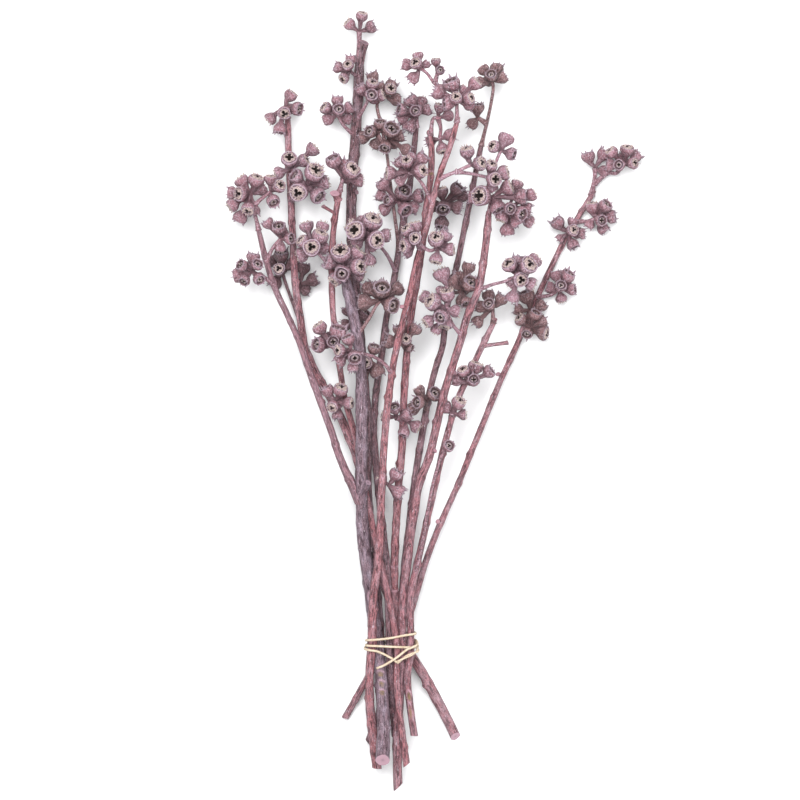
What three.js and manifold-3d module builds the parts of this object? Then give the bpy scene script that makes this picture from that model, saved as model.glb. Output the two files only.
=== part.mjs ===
// A tied bunch of preserved gumnut stems (eucalyptus seed capsules on bare, dyed stems), lying down.
// Millimetres. +X across the bunch, +Y from the cut ends towards the heads, +Z up from the surface.
import * as THREE from "three";
import { mergeVertices } from "three/addons/utils/BufferGeometryUtils.js";
import Module from "manifold-3d";

const wasm = await Module();
wasm.setup();

// Driving dimensions
const BUNCH_LENGTH = 450; // lowest cut end to topmost capsule
const BUNCH_SPREAD = 240; // across the heads
const HEAD_SAG = 14; // how far the heads lie below the line of the tied stems
const CAPSULE_DIAMETER = 12.3; // a ripe capsule across its shoulder
const TWIG_DIAMETER = 2.2; // side twigs that carry the capsules
const KNUCKLE_DIAMETER = 3; // the swelling where a twig's capsules fan out
const TIE_STRAND = 1.5; // thickness of the tie
const CLEARANCE = 0.3; // gap between pieces that touch

// The plan below is drawn for a bunch of this length and spread, tied at this height.
const PLAN_LENGTH = 450;
const PLAN_SPREAD = 240;
const PLAN_TIE = -142.5;
const PLAN_HEADS = 98;

const STATION = 16; // spacing of the sections along a stem
const STEM_SIDES = 6;
const TWIG_SIDES = 4;
const CAPSULE_SIDES = 5;
const TIE_SIDES = 4;
const TIE_STEPS = 20;
const SETTLE_ROUNDS = 60;
const CUP_CENTRE = 0.75; // from a capsule's base to the middle of its cup, in its radii
const CUP_REACH = 1.06; // the ball that holds a cup, in its radii
const CROWDING = 0.96; // how close two cups come, as a share of touching balls
const TWIG_TIP_SHARE = 0.7; // a twig's tip, as a share of its thickness
const TIE_GAP = 0.8; // between the tie and the stems
const OUTLINE_LEAN = 1.4; // directions tried for the bundle's outline, each way, in radians
const OUTLINE_STEPS = 20;
const SIDEWAYS_LIMIT = 2.5; // how far crowding may move a capsule across or along
const SIDEWAYS_SHARE = 0.5; // of the push between two stems that goes across rather than up and down
const STEM_PUSH = 0.5; // share of an overlap that one round of settling takes up
const CAPSULE_PUSH = 0.3;
const SMOOTHED_SHARE = 0.7; // of the rounds, in which a stem's moves are also smoothed along it
const KEPT_MOVE = 0.6; // of a section's own move, when it is smoothed with its two neighbours'
const AIM_PULL = 0.6; // how far a settled capsule turns to point away from its knuckle

// Stems: name, colour, radius at the cut end and at the tip, then [across, along, up] from cut end to tip.
const STEMS = [
  ["lilac", "lilac", 3.9, 3.1, [[-30, -207.5, 30], [-30, -172, 28], [-32.5, -147, 26], [-35, -126, 28.5],
    [-38, -103, 33], [-41, -80, 38], [-42, -57, 42], [-42, -29, 46], [-42, 0, 48], [-43, 29, 50],
    [-46, 46, 51], [-49, 60, 52], [-51.5, 71, 53]]],
  ["tall", "dusk", 3.2, 3, [[-27, -202, 20], [-28.5, -172, 19], [-30, -142, 18], [-32.5, -115, 19.5],
    [-35.5, -92, 21.5], [-38.5, -57, 25.5], [-39.5, -29, 27], [-40, 0, 28], [-43, 34, 28], [-46, 69, 28],
    [-48, 106, 28], [-47.5, 126, 28], [-45.5, 155, 28], [-44, 178, 28], [-43.5, 198, 28]]],
  ["front", "rose", 2.7, 1.6, [[-32.5, -213, 20], [-36.5, -175, 25], [-36.5, -155, 30], [-35.5, -142, 32],
    [-35, -115, 38], [-32, -92, 43.5], [-30.5, -57, 51], [-29, -29, 55], [-26.5, 0, 58], [-22, 29, 61],
    [-15, 57, 64], [-10, 80, 66.5], [-7, 92, 67.5], [-2.5, 103, 69], [-1, 115, 70], [2, 126, 71],
    [6.5, 138, 72], [10, 149, 73], [13.5, 161, 73]]],
  ["mid_right", "pink", 2.7, 2.1, [[-21, -224, 20], [-21.5, -195, 22], [-20, -172, 23.5], [-18.5, -142, 25.5],
    [-17.5, -115, 29], [-15, -92, 33], [-13, -75, 36], [-10, -57, 40], [-8, -46, 42], [-3.5, -34, 44],
    [-0.5, -23, 46], [4.5, 0, 49.5], [8, 12, 51], [13.5, 29, 53], [18, 46, 55], [23.5, 57, 56.5],
    [26, 69, 57.5], [29, 86, 58.5], [31, 108, 60]]],
  ["back_right", "dusk", 2.4, 1.6, [[-38, -200, 8], [-28.5, -172, 13], [-21.5, -142, 18.5], [-18.5, -115, 19],
    [-16.5, -92, 20], [-12.5, -57, 22], [-7.5, -23, 24], [-1, 12, 26], [4.5, 29, 28], [7, 52, 30],
    [12.5, 75, 32], [19.5, 109, 34], [27.5, 149, 36]]],
  ["back_mid", "dusk", 2.4, 1.7, [[-22.5, -196, 14], [-24.5, -172, 20], [-26, -142, 28], [-26.5, -115, 26.5],
    [-28, -92, 26], [-31, -63, 24], [-34, -34, 22], [-35, -11, 22], [-33, 9, 23], [-30, 29, 24],
    [-28, 46, 24], [-24.5, 63, 24], [-22, 77, 25], [-19.5, 95, 26], [-16, 112, 27], [-12.5, 138, 29],
    [-10, 161, 31]]],
  ["mid", "rose", 2.6, 1.8, [[-35, -205, 12], [-29, -172, 16.5], [-24, -142, 22.5], [-24, -115, 23],
    [-23.5, -92, 25], [-21.5, -57, 30], [-18.5, -23, 34], [-17, 12, 38], [-14.5, 40, 42], [-11, 63, 45],
    [-6.5, 92, 47], [-4.5, 112, 48], [-1.5, 135, 50], [-2.5, 155, 52]]],
  ["far_right", "pink", 1.95, 1.6, [[-52, -185.5, 2.6], [-36, -157, 9.5], [-25.5, -142, 13.5],
    [-18, -132, 15], [-11.5, -115, 17], [-4.5, -92, 18], [4.5, -69, 18.5], [10.5, -57, 18.5],
    [20, -34, 18.5], [29.5, -11, 18.5],
    [39, 12, 18.5], [49, 34, 18.5], [55, 49, 18.5], [61, 62, 18.5], [66, 72, 18.5], [70.5, 82, 18.5],
    [76, 93, 18.5], [82.5, 104, 18.5], [88.5, 114, 19], [93.5, 122, 19]]],
  ["right", "pink", 2.2, 1.7, [[-12, -194, 24], [-15, -172, 26], [-16, -155, 28], [-14, -142, 28],
    [-14.5, -115, 30.5], [-10, -92, 33], [-4.5, -69, 34.5], [-2, -57, 35.5], [1, -46, 36.5], [3.5, -34, 37.5],
    [7, -23, 38], [10.5, -7, 39], [16, 6, 40], [21, 17, 40], [26.5, 29, 40], [32, 40, 40], [35.5, 47, 40]]],
  ["left", "pink", 3, 1.9, [[12.5, -196, 3.4], [0, -171, 8], [-13, -148, 12.5], [-16.5, -142, 13],
    [-22, -126, 12.5], [-26, -115, 13], [-33, -92, 15], [-39.5, -57, 18], [-45.5, -31, 21], [-51, -17, 22.5],
    [-59.5, 0, 24], [-66.5, 12, 25], [-74.5, 29, 27], [-76, 40, 27.5], [-79.5, 57, 28], [-81, 75, 28],
    [-82, 92, 28], [-83, 115, 28], [-84.5, 144, 29], [-85, 165, 30]]],
  ["mid_left", "rose", 2, 1.7, [[-16, -210, 33], [-21, -172, 32], [-22, -155, 31], [-21.5, -142, 31],
    [-24, -126, 32], [-26, -115, 33.5], [-31.5, -92, 37], [-35, -75, 36], [-39, -57, 35], [-44, -29, 33],
    [-47.5, -14, 34], [-51.5, 0, 35.5], [-53.5, 12, 37], [-56, 29, 40], [-58, 46, 43], [-59, 63, 45],
    [-59, 86, 47], [-57, 106, 50], [-54, 122, 52]]],
];

// The lilac stem's long side branch: a second leader that leaves it low down and leans to the left.
const FORK = ["lilac_fork", "lilac", 2.3, 1.6, [[-42, -60, 41.5], [-48.5, -46, 43], [-55.5, -30, 44],
  [-59.5, -17, 44], [-66, 0, 43.5], [-72, 17, 43], [-78, 34, 42], [-86.5, 53, 41], [-93, 67, 40],
  [-97.5, 82, 39], [-102, 100, 38]]];

// Sprays: name, colour, the stem it grows on and how far along that stem, then its twigs. A twig is the points
// it runs through, the last being where its capsules fan out, and the capsules: [bearing in degrees from +X
// towards +Y, degrees of lift towards +Z, size as a share of a ripe capsule, stalk length].
const SPRAYS = [
  ["tall_top", "mauve", "tall", 196, [
    [[[-43.5, 213.5, 28.5]], [[140, 15, 0.65, 3.5], [75, 20, 0.65, 5], [30, 10, 0.65, 3.5]]]]],
  ["tall_left", "mauve", "tall", 187, [
    [[[-48.5, 190, 36]],
      [[95, 5, 0.6, 2.3], [120, 55, 0.6, 2.3], [160, 10, 0.6, 2.3], [215, 35, 0.55, 2.3]]]]],
  ["tall_right", "mauve", "tall", 162, [
    [[[-40.5, 169, 35], [-37.5, 175, 38]],
      [[115, 25, 0.65, 2.3], [65, 35, 0.65, 2.3], [30, 5, 0.6, 2.3], [15, -40, 0.6, 2.3]]]]],
  ["tall_lower", "mauve", "tall", 153, [
    [[[-52.5, 159, 33], [-56, 165, 35]], [[140, 30, 0.65, 2.3], [85, 10, 0.65, 2.3], [42, 10, 0.6, 2.3],
      [195, -20, 0.65, 2.3], [355, -25, 0.6, 2.3]]]]],
  ["thin_branch", "brown", "back_mid", 87, [
    [[[-22, 100, 33], [-24.5, 118, 37], [-26.5, 135, 41], [-27.5, 145, 43], [-26.5, 150, 44]],
      [[55, 55, 0.85, 2.3], [10, 0, 0.65, 1.7], [250, 50, 0.65, 2.3], [335, 0, 0.65, 6.5]]],
    [[[-27.5, 145, 43], [-32.5, 153, 42]],
      [[150, 50, 0.65, 2.3], [95, 35, 0.65, 1.7], [190, -10, 0.65, 2.3], [230, -35, 0.6, 1.7]]],
    [[[-27.5, 145, 43], [-31, 160, 37], [-33, 171, 33], [-29, 176, 32]], [[118, 0, 0.65, 7],
      [60, -20, 0.65, 1.7], [5, -20, 0.65, 2.3], [100, 5, 0.6, 2.3]]]]],
  ["left_tip", "mauve", "left", 163, [
    [[[-86.5, 170, 32]], [[45, 10, 0.7, 1.7], [350, 35, 0.7, 1.7], [222, 0, 0.65, 7], [262, 5, 0.7, 9]]]]],
  ["left_big", "pale", "left", 115, [
    [[[-79, 120, 36], [-74, 124, 41]], [[140, 40, 0.75, 2.3], [50, 50, 1, 3], [235, 68, 0.95, 3],
      [325, 35, 0.8, 3.5], [15, 0, 0.8, 3.5], [70, -15, 0.65, 3.5]]],
    [[[-79, 120, 36], [-81.5, 129, 37], [-82, 134, 38]], [[75, 55, 0.8, 2.3], [25, 10, 0.7, 2.3],
      [40, 5, 0.7, 9.5], [200, 0, 0.65, 4.5]]]]],
  ["mid_left_top", "mauve", "mid_left", 120, [
    [[[-52.5, 127, 54]], [[112, 25, 0.8, 6], [50, 40, 0.9, 2.3], [5, -15, 0.7, 3], [80, -30, 0.7, 2.3]]]]],
  ["far_left_top", "mauve", "lilac_fork", 98, [
    [[[-104.5, 112, 38], [-106, 119, 39]], [[125, 10, 0.75, 2.3], [75, 20, 0.8, 2.3], [40, -20, 0.7, 2.3],
      [190, 42, 0.75, 2.3], [215, 5, 0.7, 7], [254, 35, 0.7, 4.6], [272, -5, 0.65, 6], [243, -10, 0.75, 9],
      [175, -10, 0.65, 5]]],
    [[[-104.5, 112, 38], [-100, 116, 40], [-94.5, 120, 42]],
      [[85, 20, 0.65, 2.3], [40, 50, 0.7, 2.3], [300, 45, 0.7, 1.7]]]]],
  ["left_inner", "mauve", "lilac_fork", 80, [
    [[[-93, 88, 42], [-88.5, 93, 42]],
      [[129, 5, 0.6, 7.5], [95, 42, 0.7, 3], [12, 45, 0.6, 2.3], [265, -20, 0.6, 1.7]]]]],
  ["left_outer", "mauve", "lilac_fork", 66, [
    [[[-98.5, 71, 45], [-105, 74, 47]], [[85, 12, 0.65, 2.3], [150, 42, 0.65, 2.3], [55, 55, 0.6, 2.3],
      [310, 52, 0.65, 1.7], [235, 45, 0.6, 3], [185, -20, 0.7, 2.3]]]]],
  ["left_dark", "dusk", "left", 43, [
    [[[-82, 56, 22], [-86, 67, 20], [-88.5, 75, 19]],
      [[95, 20, 0.8, 2.3], [125, -25, 0.7, 1.7], [40, -40, 0.65, 1.7], [235, -25, 0.7, 1.7]]]]],
  ["left_mid", "pale", "mid_left", 76, [
    [[[-64.5, 82, 50], [-69.5, 87, 50]], [[75, 25, 0.85, 1.7], [100, 68, 0.85, 1.7], [135, 30, 0.7, 1.7],
      [190, 0, 0.75, 1.7], [30, -30, 0.7, 1.7], [105, 0, 0.7, 8.5], [70, -10, 0.7, 8]]]]],
  ["centre_upper", "pale", "back_mid", 75, [
    [[[-27.5, 84, 40], [-33, 90, 51], [-39.5, 94, 55]], [[135, 12, 0.8, 3], [150, 66, 1, 2.3],
      [60, 40, 1, 2.3], [355, 55, 0.9, 2.3], [95, -5, 0.75, 2.3], [205, -15, 0.7, 2.3], [315, -20, 0.7, 2.3],
      [280, -15, 0.75, 8], [2, 0, 0.7, 6.5]]]]],
  ["centre_lower", "pale", "lilac", 68, [
    [[[-51.5, 76, 57]], [[97, 48, 1, 2.3], [160, 22, 0.8, 2.3], [245, 78, 0.85, 2.3], [12, 42, 0.85, 2.3],
      [45, 8, 0.8, 3.5], [230, 28, 0.75, 2.3], [345, 0, 0.75, 3]]]]],
  ["left_behind", "dusk", "left", 65, [
    [[[-78, 67, 24]], [[75, -5, 0.7, 3.5], [25, -10, 0.7, 1.7], [350, -20, 0.6, 1.2]]]]],
  ["centre_brown", "brown", "lilac", 37, [
    [[[-38, 46, 55], [-34, 53, 58], [-31, 57, 59]], [[85, 48, 0.9, 2.3], [352, 50, 0.85, 2.3],
      [172, -12, 0.85, 3.5], [135, -20, 0.8, 3], [110, 5, 0.75, 2.3], [35, -25, 0.7, 9]]]]],
  ["centre_dark", "dusk", "tall", 40, [
    [[[-45.5, 45, 34]], [[60, 20, 0.7, 1.7], [115, 5, 0.7, 1.7], [180, -15, 0.6, 1.7]]]]],
  ["mid_left_low", "mauve", "mid_left", 26, [
    [[[-58.5, 31, 46]],
      [[121, 15, 0.75, 6.5], [83, 24, 0.9, 2.3], [167, 36, 0.8, 2.3], [140, -40, 0.7, 1.7]]]]],
  ["centre_front", "mauve", "front", 15, [
    [[[-29, 21, 65], [-35.5, 25, 68], [-41.5, 26.5, 69], [-47.5, 28, 68]], [[118, 25, 0.65, 2.3],
      [185, 42, 0.65, 2.3], [275, 58, 0.7, 2.3], [268, 0, 0.6, 4.6], [225, 0, 0.65, 2.3]]]]],
  ["centre_low", "brown", "tall", 9, [
    [[[-38, 17, 36], [-37.5, 23, 40]],
      [[80, 28, 0.65, 1.7], [135, 5, 0.65, 1.7], [290, -10, 0.75, 1.7], [235, -15, 0.65, 1.7]]]]],
  ["mid_low", "brown", "mid", 28, [
    [[[-18.5, 32, 46]],
      [[150, 12, 0.7, 2.3], [105, 10, 0.7, 2.3], [52, 5, 0.65, 7.5], [340, 25, 0.45, 2.3]]]]],
  ["front_top", "mauve", "front", 158, [
    [[[12.5, 170, 76]], [[175, 12, 0.7, 2.3], [150, 8, 0.8, 4.6], [118, 18, 0.85, 3], [85, 52, 0.65, 1.7],
      [25, 38, 0.65, 2.3], [62, 8, 0.6, 2.3], [45, 12, 0.7, 8], [350, -25, 0.65, 3.5]]],
    [[[12.5, 170, 76], [5, 175, 75], [0, 180, 73], [-4.5, 186, 72], [-8.5, 189, 71]],
      [[168, -12, 0.65, 1.7], [215, -20, 0.65, 1.7], [105, -10, 0.55, 1.7], [55, -10, 0.45, 1.2]]],
    [[[0, 180, 73], [1.5, 186, 74]], [[95, 15, 0.5, 3], [60, 62, 0.5, 1.7]]]]],
  ["right_back_tip", "brown", "back_right", 147, [
    [[[31.5, 165, 38], [34, 179, 39], [33.5, 184, 39]],
      [[127, -15, 0.65, 2.3], [85, -20, 0.7, 2.3], [42, -10, 0.6, 2.3], [165, -5, 0.6, 3]]],
    [[[30, 160, 37.5], [25, 163, 38]], [[230, -30, 0.6, 1.2], [92, 15, 0.7, 1.7]]]]],
  ["back_mid_tip", "mauve", "back_mid", 158, [
    [[[-10, 166, 32.5]], [[132, 10, 0.7, 2.3], [85, -25, 0.65, 2.3], [165, 15, 0.65, 3], [205, 0, 0.7, 3],
      [245, -10, 0.7, 3], [28, 0, 0.6, 2.3]]]]],
  ["mid_tip", "mauve", "mid", 152, [
    [[[-1, 161, 54], [2, 162, 54]], [[75, 15, 0.6, 2.3], [20, -25, 0.6, 3]]],
    [[[2, 162, 54], [3.5, 156, 51], [3, 150, 49]],
      [[285, 20, 0.65, 2.3], [20, 5, 0.65, 2.3], [200, 0, 0.6, 2.3]]]]],
  ["right_mid", "pale", "front", 126, [
    [[[12, 130, 71], [20.5, 134, 69]], [[95, 30, 0.75, 2.3], [32, 50, 0.75, 1.7]]],
    [[[12, 130, 71], [21.5, 129, 67], [31, 127, 64]],
      [[58, 42, 0.65, 3], [15, 15, 0.75, 2.3], [20, 62, 0.8, 1.7], [300, -10, 0.65, 1.7]]],
    [[[31, 127, 64], [35, 136, 60], [38, 143, 58]],
      [[150, 42, 0.65, 1.7], [65, -10, 0.8, 1.7], [345, 18, 0.65, 2.3]]]]],
  ["right_tip", "mauve", "mid_right", 105, [
    [[[32.5, 116, 62]], [[175, 55, 1, 2.3], [180, -5, 0.7, 6], [20, 8, 0.75, 8], [2, 4, 0.8, 10],
      [295, 15, 0.75, 1.7]]],
    [[[32.5, 116, 62], [37.5, 113, 60], [42.5, 110, 58]],
      [[335, 38, 0.75, 1.7], [345, 0, 0.7, 4.6], [258, 0, 0.65, 2.3], [300, 0, 0.7, 2.3],
        [275, -20, 0.7, 6.5], [70, -5, 0.6, 11], [27, 0, 0.65, 9], [335, -20, 0.65, 9]]]]],
  ["upper_mid", "mauve", "front", 112, [
    [[[-6.5, 122, 71], [-11, 128, 68], [-14.5, 130, 66]], [[140, 25, 0.65, 2.3], [100, 38, 0.65, 1.7],
      [65, 5, 0.7, 2.3], [178, 8, 0.7, 4.6], [198, -5, 0.65, 3.5], [25, 40, 0.75, 3], [50, 10, 0.7, 4.6]]]]],
  ["mid_dark", "mauve", "back_mid", 102, [
    [[[-19.5, 110, 36], [-21, 115, 40]], [[35, 55, 0.85, 1.7], [325, 45, 0.75, 2.3], [170, 48, 0.6, 1.7],
      [160, -20, 0.65, 4.6], [205, -20, 0.65, 4.6], [10, 15, 0.7, 6.5], [340, -10, 0.7, 5],
      [133, 10, 0.7, 8.5]]]]],
  ["mid_right_dark", "dusk", "mid", 108, [
    [[[1, 111, 42], [6, 114, 40]],
      [[272, 45, 0.75, 1.7], [95, 15, 0.7, 1.7], [345, 0, 0.7, 1.7], [195, -20, 0.65, 1.7],
        [48, 20, 0.75, 5], [262, 15, 0.75, 6.5], [20, -15, 0.7, 6]]]]],
  ["front_pair", "pale", "front", 86, [
    [[[-10.5, 90, 72]], [[138, 25, 0.7, 2.3], [105, 15, 0.7, 3], [178, 28, 0.7, 2.3], [208, 0, 0.65, 2.3]]],
    [[[-10.5, 90, 72], [-3, 85, 72.5], [2, 87, 73]],
      [[75, 48, 0.85, 1.7], [42, 15, 0.7, 2.3], [10, 5, 0.65, 2.3], [260, 15, 0.65, 3.5]]]]],
  ["right_centre", "pale", "mid_right", 37, [
    [[[10.5, 43, 60], [6.5, 52, 63]], [[105, 32, 0.8, 3.5], [152, 38, 0.9, 2.3], [210, 42, 0.75, 2.3],
      [216, 18, 0.65, 7], [252, 22, 0.7, 3.5], [345, -10, 0.65, 1.7], [150, -5, 0.65, 9.5],
      [248, -15, 0.6, 8.5]]],
    [[[6.5, 52, 63], [7, 59, 60], [7, 65, 59]], [[113, -5, 0.85, 2.3], [205, -30, 0.5, 1.7]]]]],
  ["right_centre_back", "brown", "back_right", 63, [
    [[[13, 62, 39], [16, 63, 43]], [[58, 40, 0.9, 1.7], [122, 5, 0.8, 2.3], [90, -25, 0.65, 3],
      [58, -30, 0.6, 3.5], [272, -10, 0.65, 1.7], [285, 35, 0.6, 4.6], [76, -5, 0.7, 8.5]]]]],
  ["right_stem_tip", "brown", "right", 44, [
    [[[33.5, 53, 40]],
      [[65, 0, 0.7, 1.7], [155, -10, 0.65, 1.7], [222, -5, 0.65, 8], [110, -25, 0.65, 1.7]]]]],
  ["right_cluster", "pale", "mid_right", 63, [
    [[[33, 66, 61], [40.5, 68, 60], [47.5, 71, 59]], [[85, 15, 0.75, 2.3], [122, 42, 0.75, 2.3],
      [10, 72, 0.75, 1.7], [38, 45, 0.9, 2.3], [45, 0, 0.75, 7], [335, 0, 0.7, 2.3], [240, -25, 0.65, 2.3],
      [256, -10, 0.7, 7.5]]]]],
  ["far_right_low", "brown", "far_right", 46, [
    [[[56.5, 52, 22]], [[112, 10, 0.85, 2.3], [165, 0, 0.6, 3.5], [50, -20, 0.65, 1.7]]],
    [[[56.5, 52, 22], [56, 42, 22]], [[130, 25, 0.65, 3.5], [60, 20, 0.65, 2.3], [352, 12, 0.75, 1.7],
      [262, 55, 0.6, 1.7], [25, -25, 0.65, 1.7]]]]],
  ["far_right_mid", "mauve", "far_right", 60, [
    [[[67.5, 61, 22], [73.5, 65, 23]], [[55, 18, 0.75, 1.7], [15, 20, 0.6, 2.3], [292, 0, 0.6, 1.7],
      [150, -10, 0.6, 1.7], [100, -5, 0.65, 1.7]]]]],
  ["far_right_upper", "mauve", "far_right", 95, [
    [[[78, 97, 22.5]], [[125, 12, 0.75, 3], [72, 0, 0.55, 2.3], [222, -10, 0.5, 2.3], [300, 10, 0.65, 2.3],
      [0, -5, 0.55, 2.3]]]]],
  ["far_right_side", "mauve", "far_right", 104, [
    [[[89.5, 104, 22.5], [94.5, 106, 23]], [[87, 12, 0.75, 1.7], [45, 22, 0.7, 2.3], [8, 12, 0.7, 2.3],
      [318, -12, 0.65, 1.7], [250, -20, 0.55, 1.2]]]]],
  ["far_right_top", "mauve", "far_right", 119, [
    [[[93.5, 129, 21], [93.5, 135, 22]], [[100, 8, 0.7, 3], [55, 12, 0.75, 3], [0, -10, 0.6, 2.3]]],
    [[[93.5, 126, 20], [101, 132, 21], [106, 132, 23], [110, 137, 25]], [[150, 68, 0.6, 1.7],
      [30, 45, 0.6, 2.3], [135, 15, 0.65, 3.5], [85, 22, 0.7, 2.3], [45, 5, 0.65, 3.5],
      [165, 5, 0.65, 4.6]]]]],
  ["right_pods", "mauve", "right", 12, [
    [[[20.5, 10, 45.5]], [[105, 32, 0.65, 3], [70, 12, 0.8, 2.3], [40, 8, 0.65, 7], [163, -5, 0.65, 1.7]]]]],
  ["back_right_pair", "brown", "back_right", -6, [
    [[[-4.5, -1, 35]], [[48, 50, 0.75, 3.5], [180, 42, 0.7, 2.3], [135, -15, 0.6, 2.3], [192, 0, 0.7, 4]]]]],
  ["mid_pods", "mauve", "mid", -13, [
    [[[-22, -10, 41]], [[100, 42, 0.65, 1.7], [165, 5, 0.6, 2.3], [20, 15, 0.65, 1.7]]],
    [[[-22, -10, 41], [-16, -12, 37]], [[325, 5, 0.65, 2.3], [250, 0, 0.6, 2.3]]]]],
  ["right_low", "mauve", "right", -9, [
    [[[10, -7.5, 44]], [[55, 32, 0.75, 1.7], [5, 8, 0.55, 2.3], [132, 18, 0.65, 1.7]]]]],
  ["left_low", "mauve", "left", -8, [
    [[[-56, -4, 34], [-57, -1, 40]], [[110, 18, 0.7, 2.3], [75, 32, 0.75, 1.7], [5, 22, 0.65, 2.3],
      [248, 55, 0.65, 1.7], [275, 8, 0.55, 4]]]]],
  ["lower_bells", "mauve", "mid", -59, [
    [[[-24.5, -53, 38], [-26.5, -49, 42]], [[60, 8, 0.7, 2.3], [330, 4, 0.75, 2.3], [128, 5, 0.6, 1.7]]]]],
  ["single_bell", "mauve", "right", -104, [
    [[[-8, -84, 38], [-5, -66, 39.5], [-1.5, -48, 40.5], [2, -36, 41], [5, -28, 42]], [[35, 58, 0.6, 1.7]]]]],
];

// A full fan also has a capsule underneath and, if all of it faces sideways, one on top: lift, size, stalk.
const FULL_FAN = 4;
const UNDERSIDE_CAPSULE = [-50, 0.6, 2.3];
const TOP_CAPSULE = [58, 0.65, 2.3];
const FACES_UP = 40; // lift of a capsule that already covers the top of its fan

// Tie: four turns of one strand. Each turn is its height along the bunch at the right, the front, the left and
// the back of the bundle.
const TIE_TURNS = [
  [-133.5, -136, -138.5, -140],
  [-142.5, -142, -141, -139],
  [-144, -150.5, -142.5, -141.5],
  [-139.5, -147.5, -154, -146],
];

const COLOURS = {
  lilac: 0x8e7985, dusk: 0x705460, rose: 0xa47c85, pink: 0xa98792,
  mauve: 0xa5879a, pale: 0xb297a4, brown: 0x7e6369, tie: 0xe0cdbe,
};

// Plan to bunch
const lengthScale = BUNCH_LENGTH / PLAN_LENGTH;
const spreadScale = BUNCH_SPREAD / PLAN_SPREAD;
const along = (y) => y * lengthScale;
const sag = (planY) => HEAD_SAG * THREE.MathUtils.smoothstep(planY, PLAN_TIE, PLAN_HEADS);

// A plan point in the bunch: the spread grows from where its stem passes the tie.
function place([x, y, z], tieX) {
  return new THREE.Vector3(tieX + (x - tieX) * spreadScale, along(y), z - sag(y));
}

// A smooth curve through the points, as x and z for each y.
function curveAlong(points) {
  const slope = points.map((p, i) => {
    const a = points[Math.max(i - 1, 0)];
    const b = points[Math.min(i + 1, points.length - 1)];
    return b.clone().sub(a).divideScalar(b.y - a.y);
  });
  return (y) => {
    let i = points.findIndex((p) => p.y > y) - 1;
    if (i === -2) i = points.length - 2;
    if (i < 0) i = 0;
    const [a, b] = [points[i], points[i + 1]];
    const h = b.y - a.y;
    const t = (y - a.y) / h;
    const keepA = (1 + 2 * t) * (1 - t) ** 2;
    const keepB = t * t * (3 - 2 * t);
    const turnA = t * (1 - t) ** 2 * h;
    const turnB = t * t * (t - 1) * h;
    const [slopeA, slopeB] = [slope[i], slope[i + 1]];
    const mix = (axis) =>
      keepA * a[axis] + keepB * b[axis] + turnA * slopeA[axis] + turnB * slopeB[axis];
    return new THREE.Vector3(mix("x"), y, mix("z"));
  };
}

function makeStem([name, colour, buttRadius, tipRadius, plan]) {
  const tieX = plan.reduce((near, p) =>
    (Math.abs(p[1] - PLAN_TIE) < Math.abs(near[1] - PLAN_TIE) ? p : near))[0];
  const points = plan.map((p) => place(p, tieX));
  const curve = curveAlong(points);
  const low = points[0].y;
  const high = points[points.length - 1].y;
  const heights = [low];
  for (let k = Math.ceil(low / STATION); k * STATION < high; k++) {
    const y = k * STATION;
    if (y - low > STATION / 3 && high - y > STATION / 3) heights.push(y);
  }
  heights.push(high);
  const radiusAt = (y) => THREE.MathUtils.mapLinear(y, low, high, buttRadius, tipRadius);
  const sections = heights.map((y) => {
    const centre = curve(y);
    const lean = curve(y + 1).sub(curve(y - 1)).length() / 2;
    return { y, centre, radius: radiusAt(y), reach: radiusAt(y) * lean, shift: new THREE.Vector3() };
  });
  return { name, colour, tieX, low, high, radiusAt, sections };
}

// Stems that cross or press together push one another apart, mostly up and down, and none sinks below 0.
function settleStems(stems) {
  for (let round = 0; round < SETTLE_ROUNDS; round++) {
    const pushes = new Map();
    stems.forEach((stem) => stem.sections.forEach((s) => pushes.set(s, new THREE.Vector3())));
    stems.forEach((one, i) => stems.slice(i + 1).forEach((other) => {
      if (one.name === "lilac" && other.name === "lilac_fork") return;
      one.sections.forEach((a) => {
        const b = other.sections.find((s) => s.y === a.y);
        if (!b) return;
        const apart = a.centre.clone().add(a.shift).sub(b.centre).sub(b.shift);
        const short = a.reach + b.reach + 2 * CLEARANCE - apart.length();
        if (short <= 0) return;
        apart.x *= SIDEWAYS_SHARE;
        apart.setLength(short * STEM_PUSH);
        pushes.get(a).add(apart);
        pushes.get(b).sub(apart);
      });
    }));
    stems.forEach((stem) => {
      stem.sections.forEach((s) => {
        s.shift.add(pushes.get(s));
        s.shift.z = Math.max(s.shift.z, s.radius - s.centre.z);
      });
      if (round > SETTLE_ROUNDS * SMOOTHED_SHARE) return;
      const before = stem.sections.map((s) => s.shift.clone());
      stem.sections.forEach((s, k) => {
        const down = before[Math.max(k - 1, 0)];
        const up = before[Math.min(k + 1, before.length - 1)];
        const shared = (1 - KEPT_MOVE) / 2;
        s.shift.multiplyScalar(KEPT_MOVE).addScaledVector(down, shared).addScaledVector(up, shared);
      });
    });
  }
  stems.forEach((stem) => stem.sections.forEach((s) => s.centre.add(s.shift)));
}

// The stem at a height: its centre, how far settling moved it there, and its reach.
function onStem(stem, y) {
  const i = Math.max(1, stem.sections.findIndex((s) => s.y >= y));
  const [a, b] = [stem.sections[i - 1], stem.sections[i]];
  const t = (y - a.y) / (b.y - a.y);
  return {
    centre: a.centre.clone().lerp(b.centre, t),
    shift: a.shift.clone().lerp(b.shift, t),
    reach: Math.max(a.reach, b.reach),
  };
}

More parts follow.
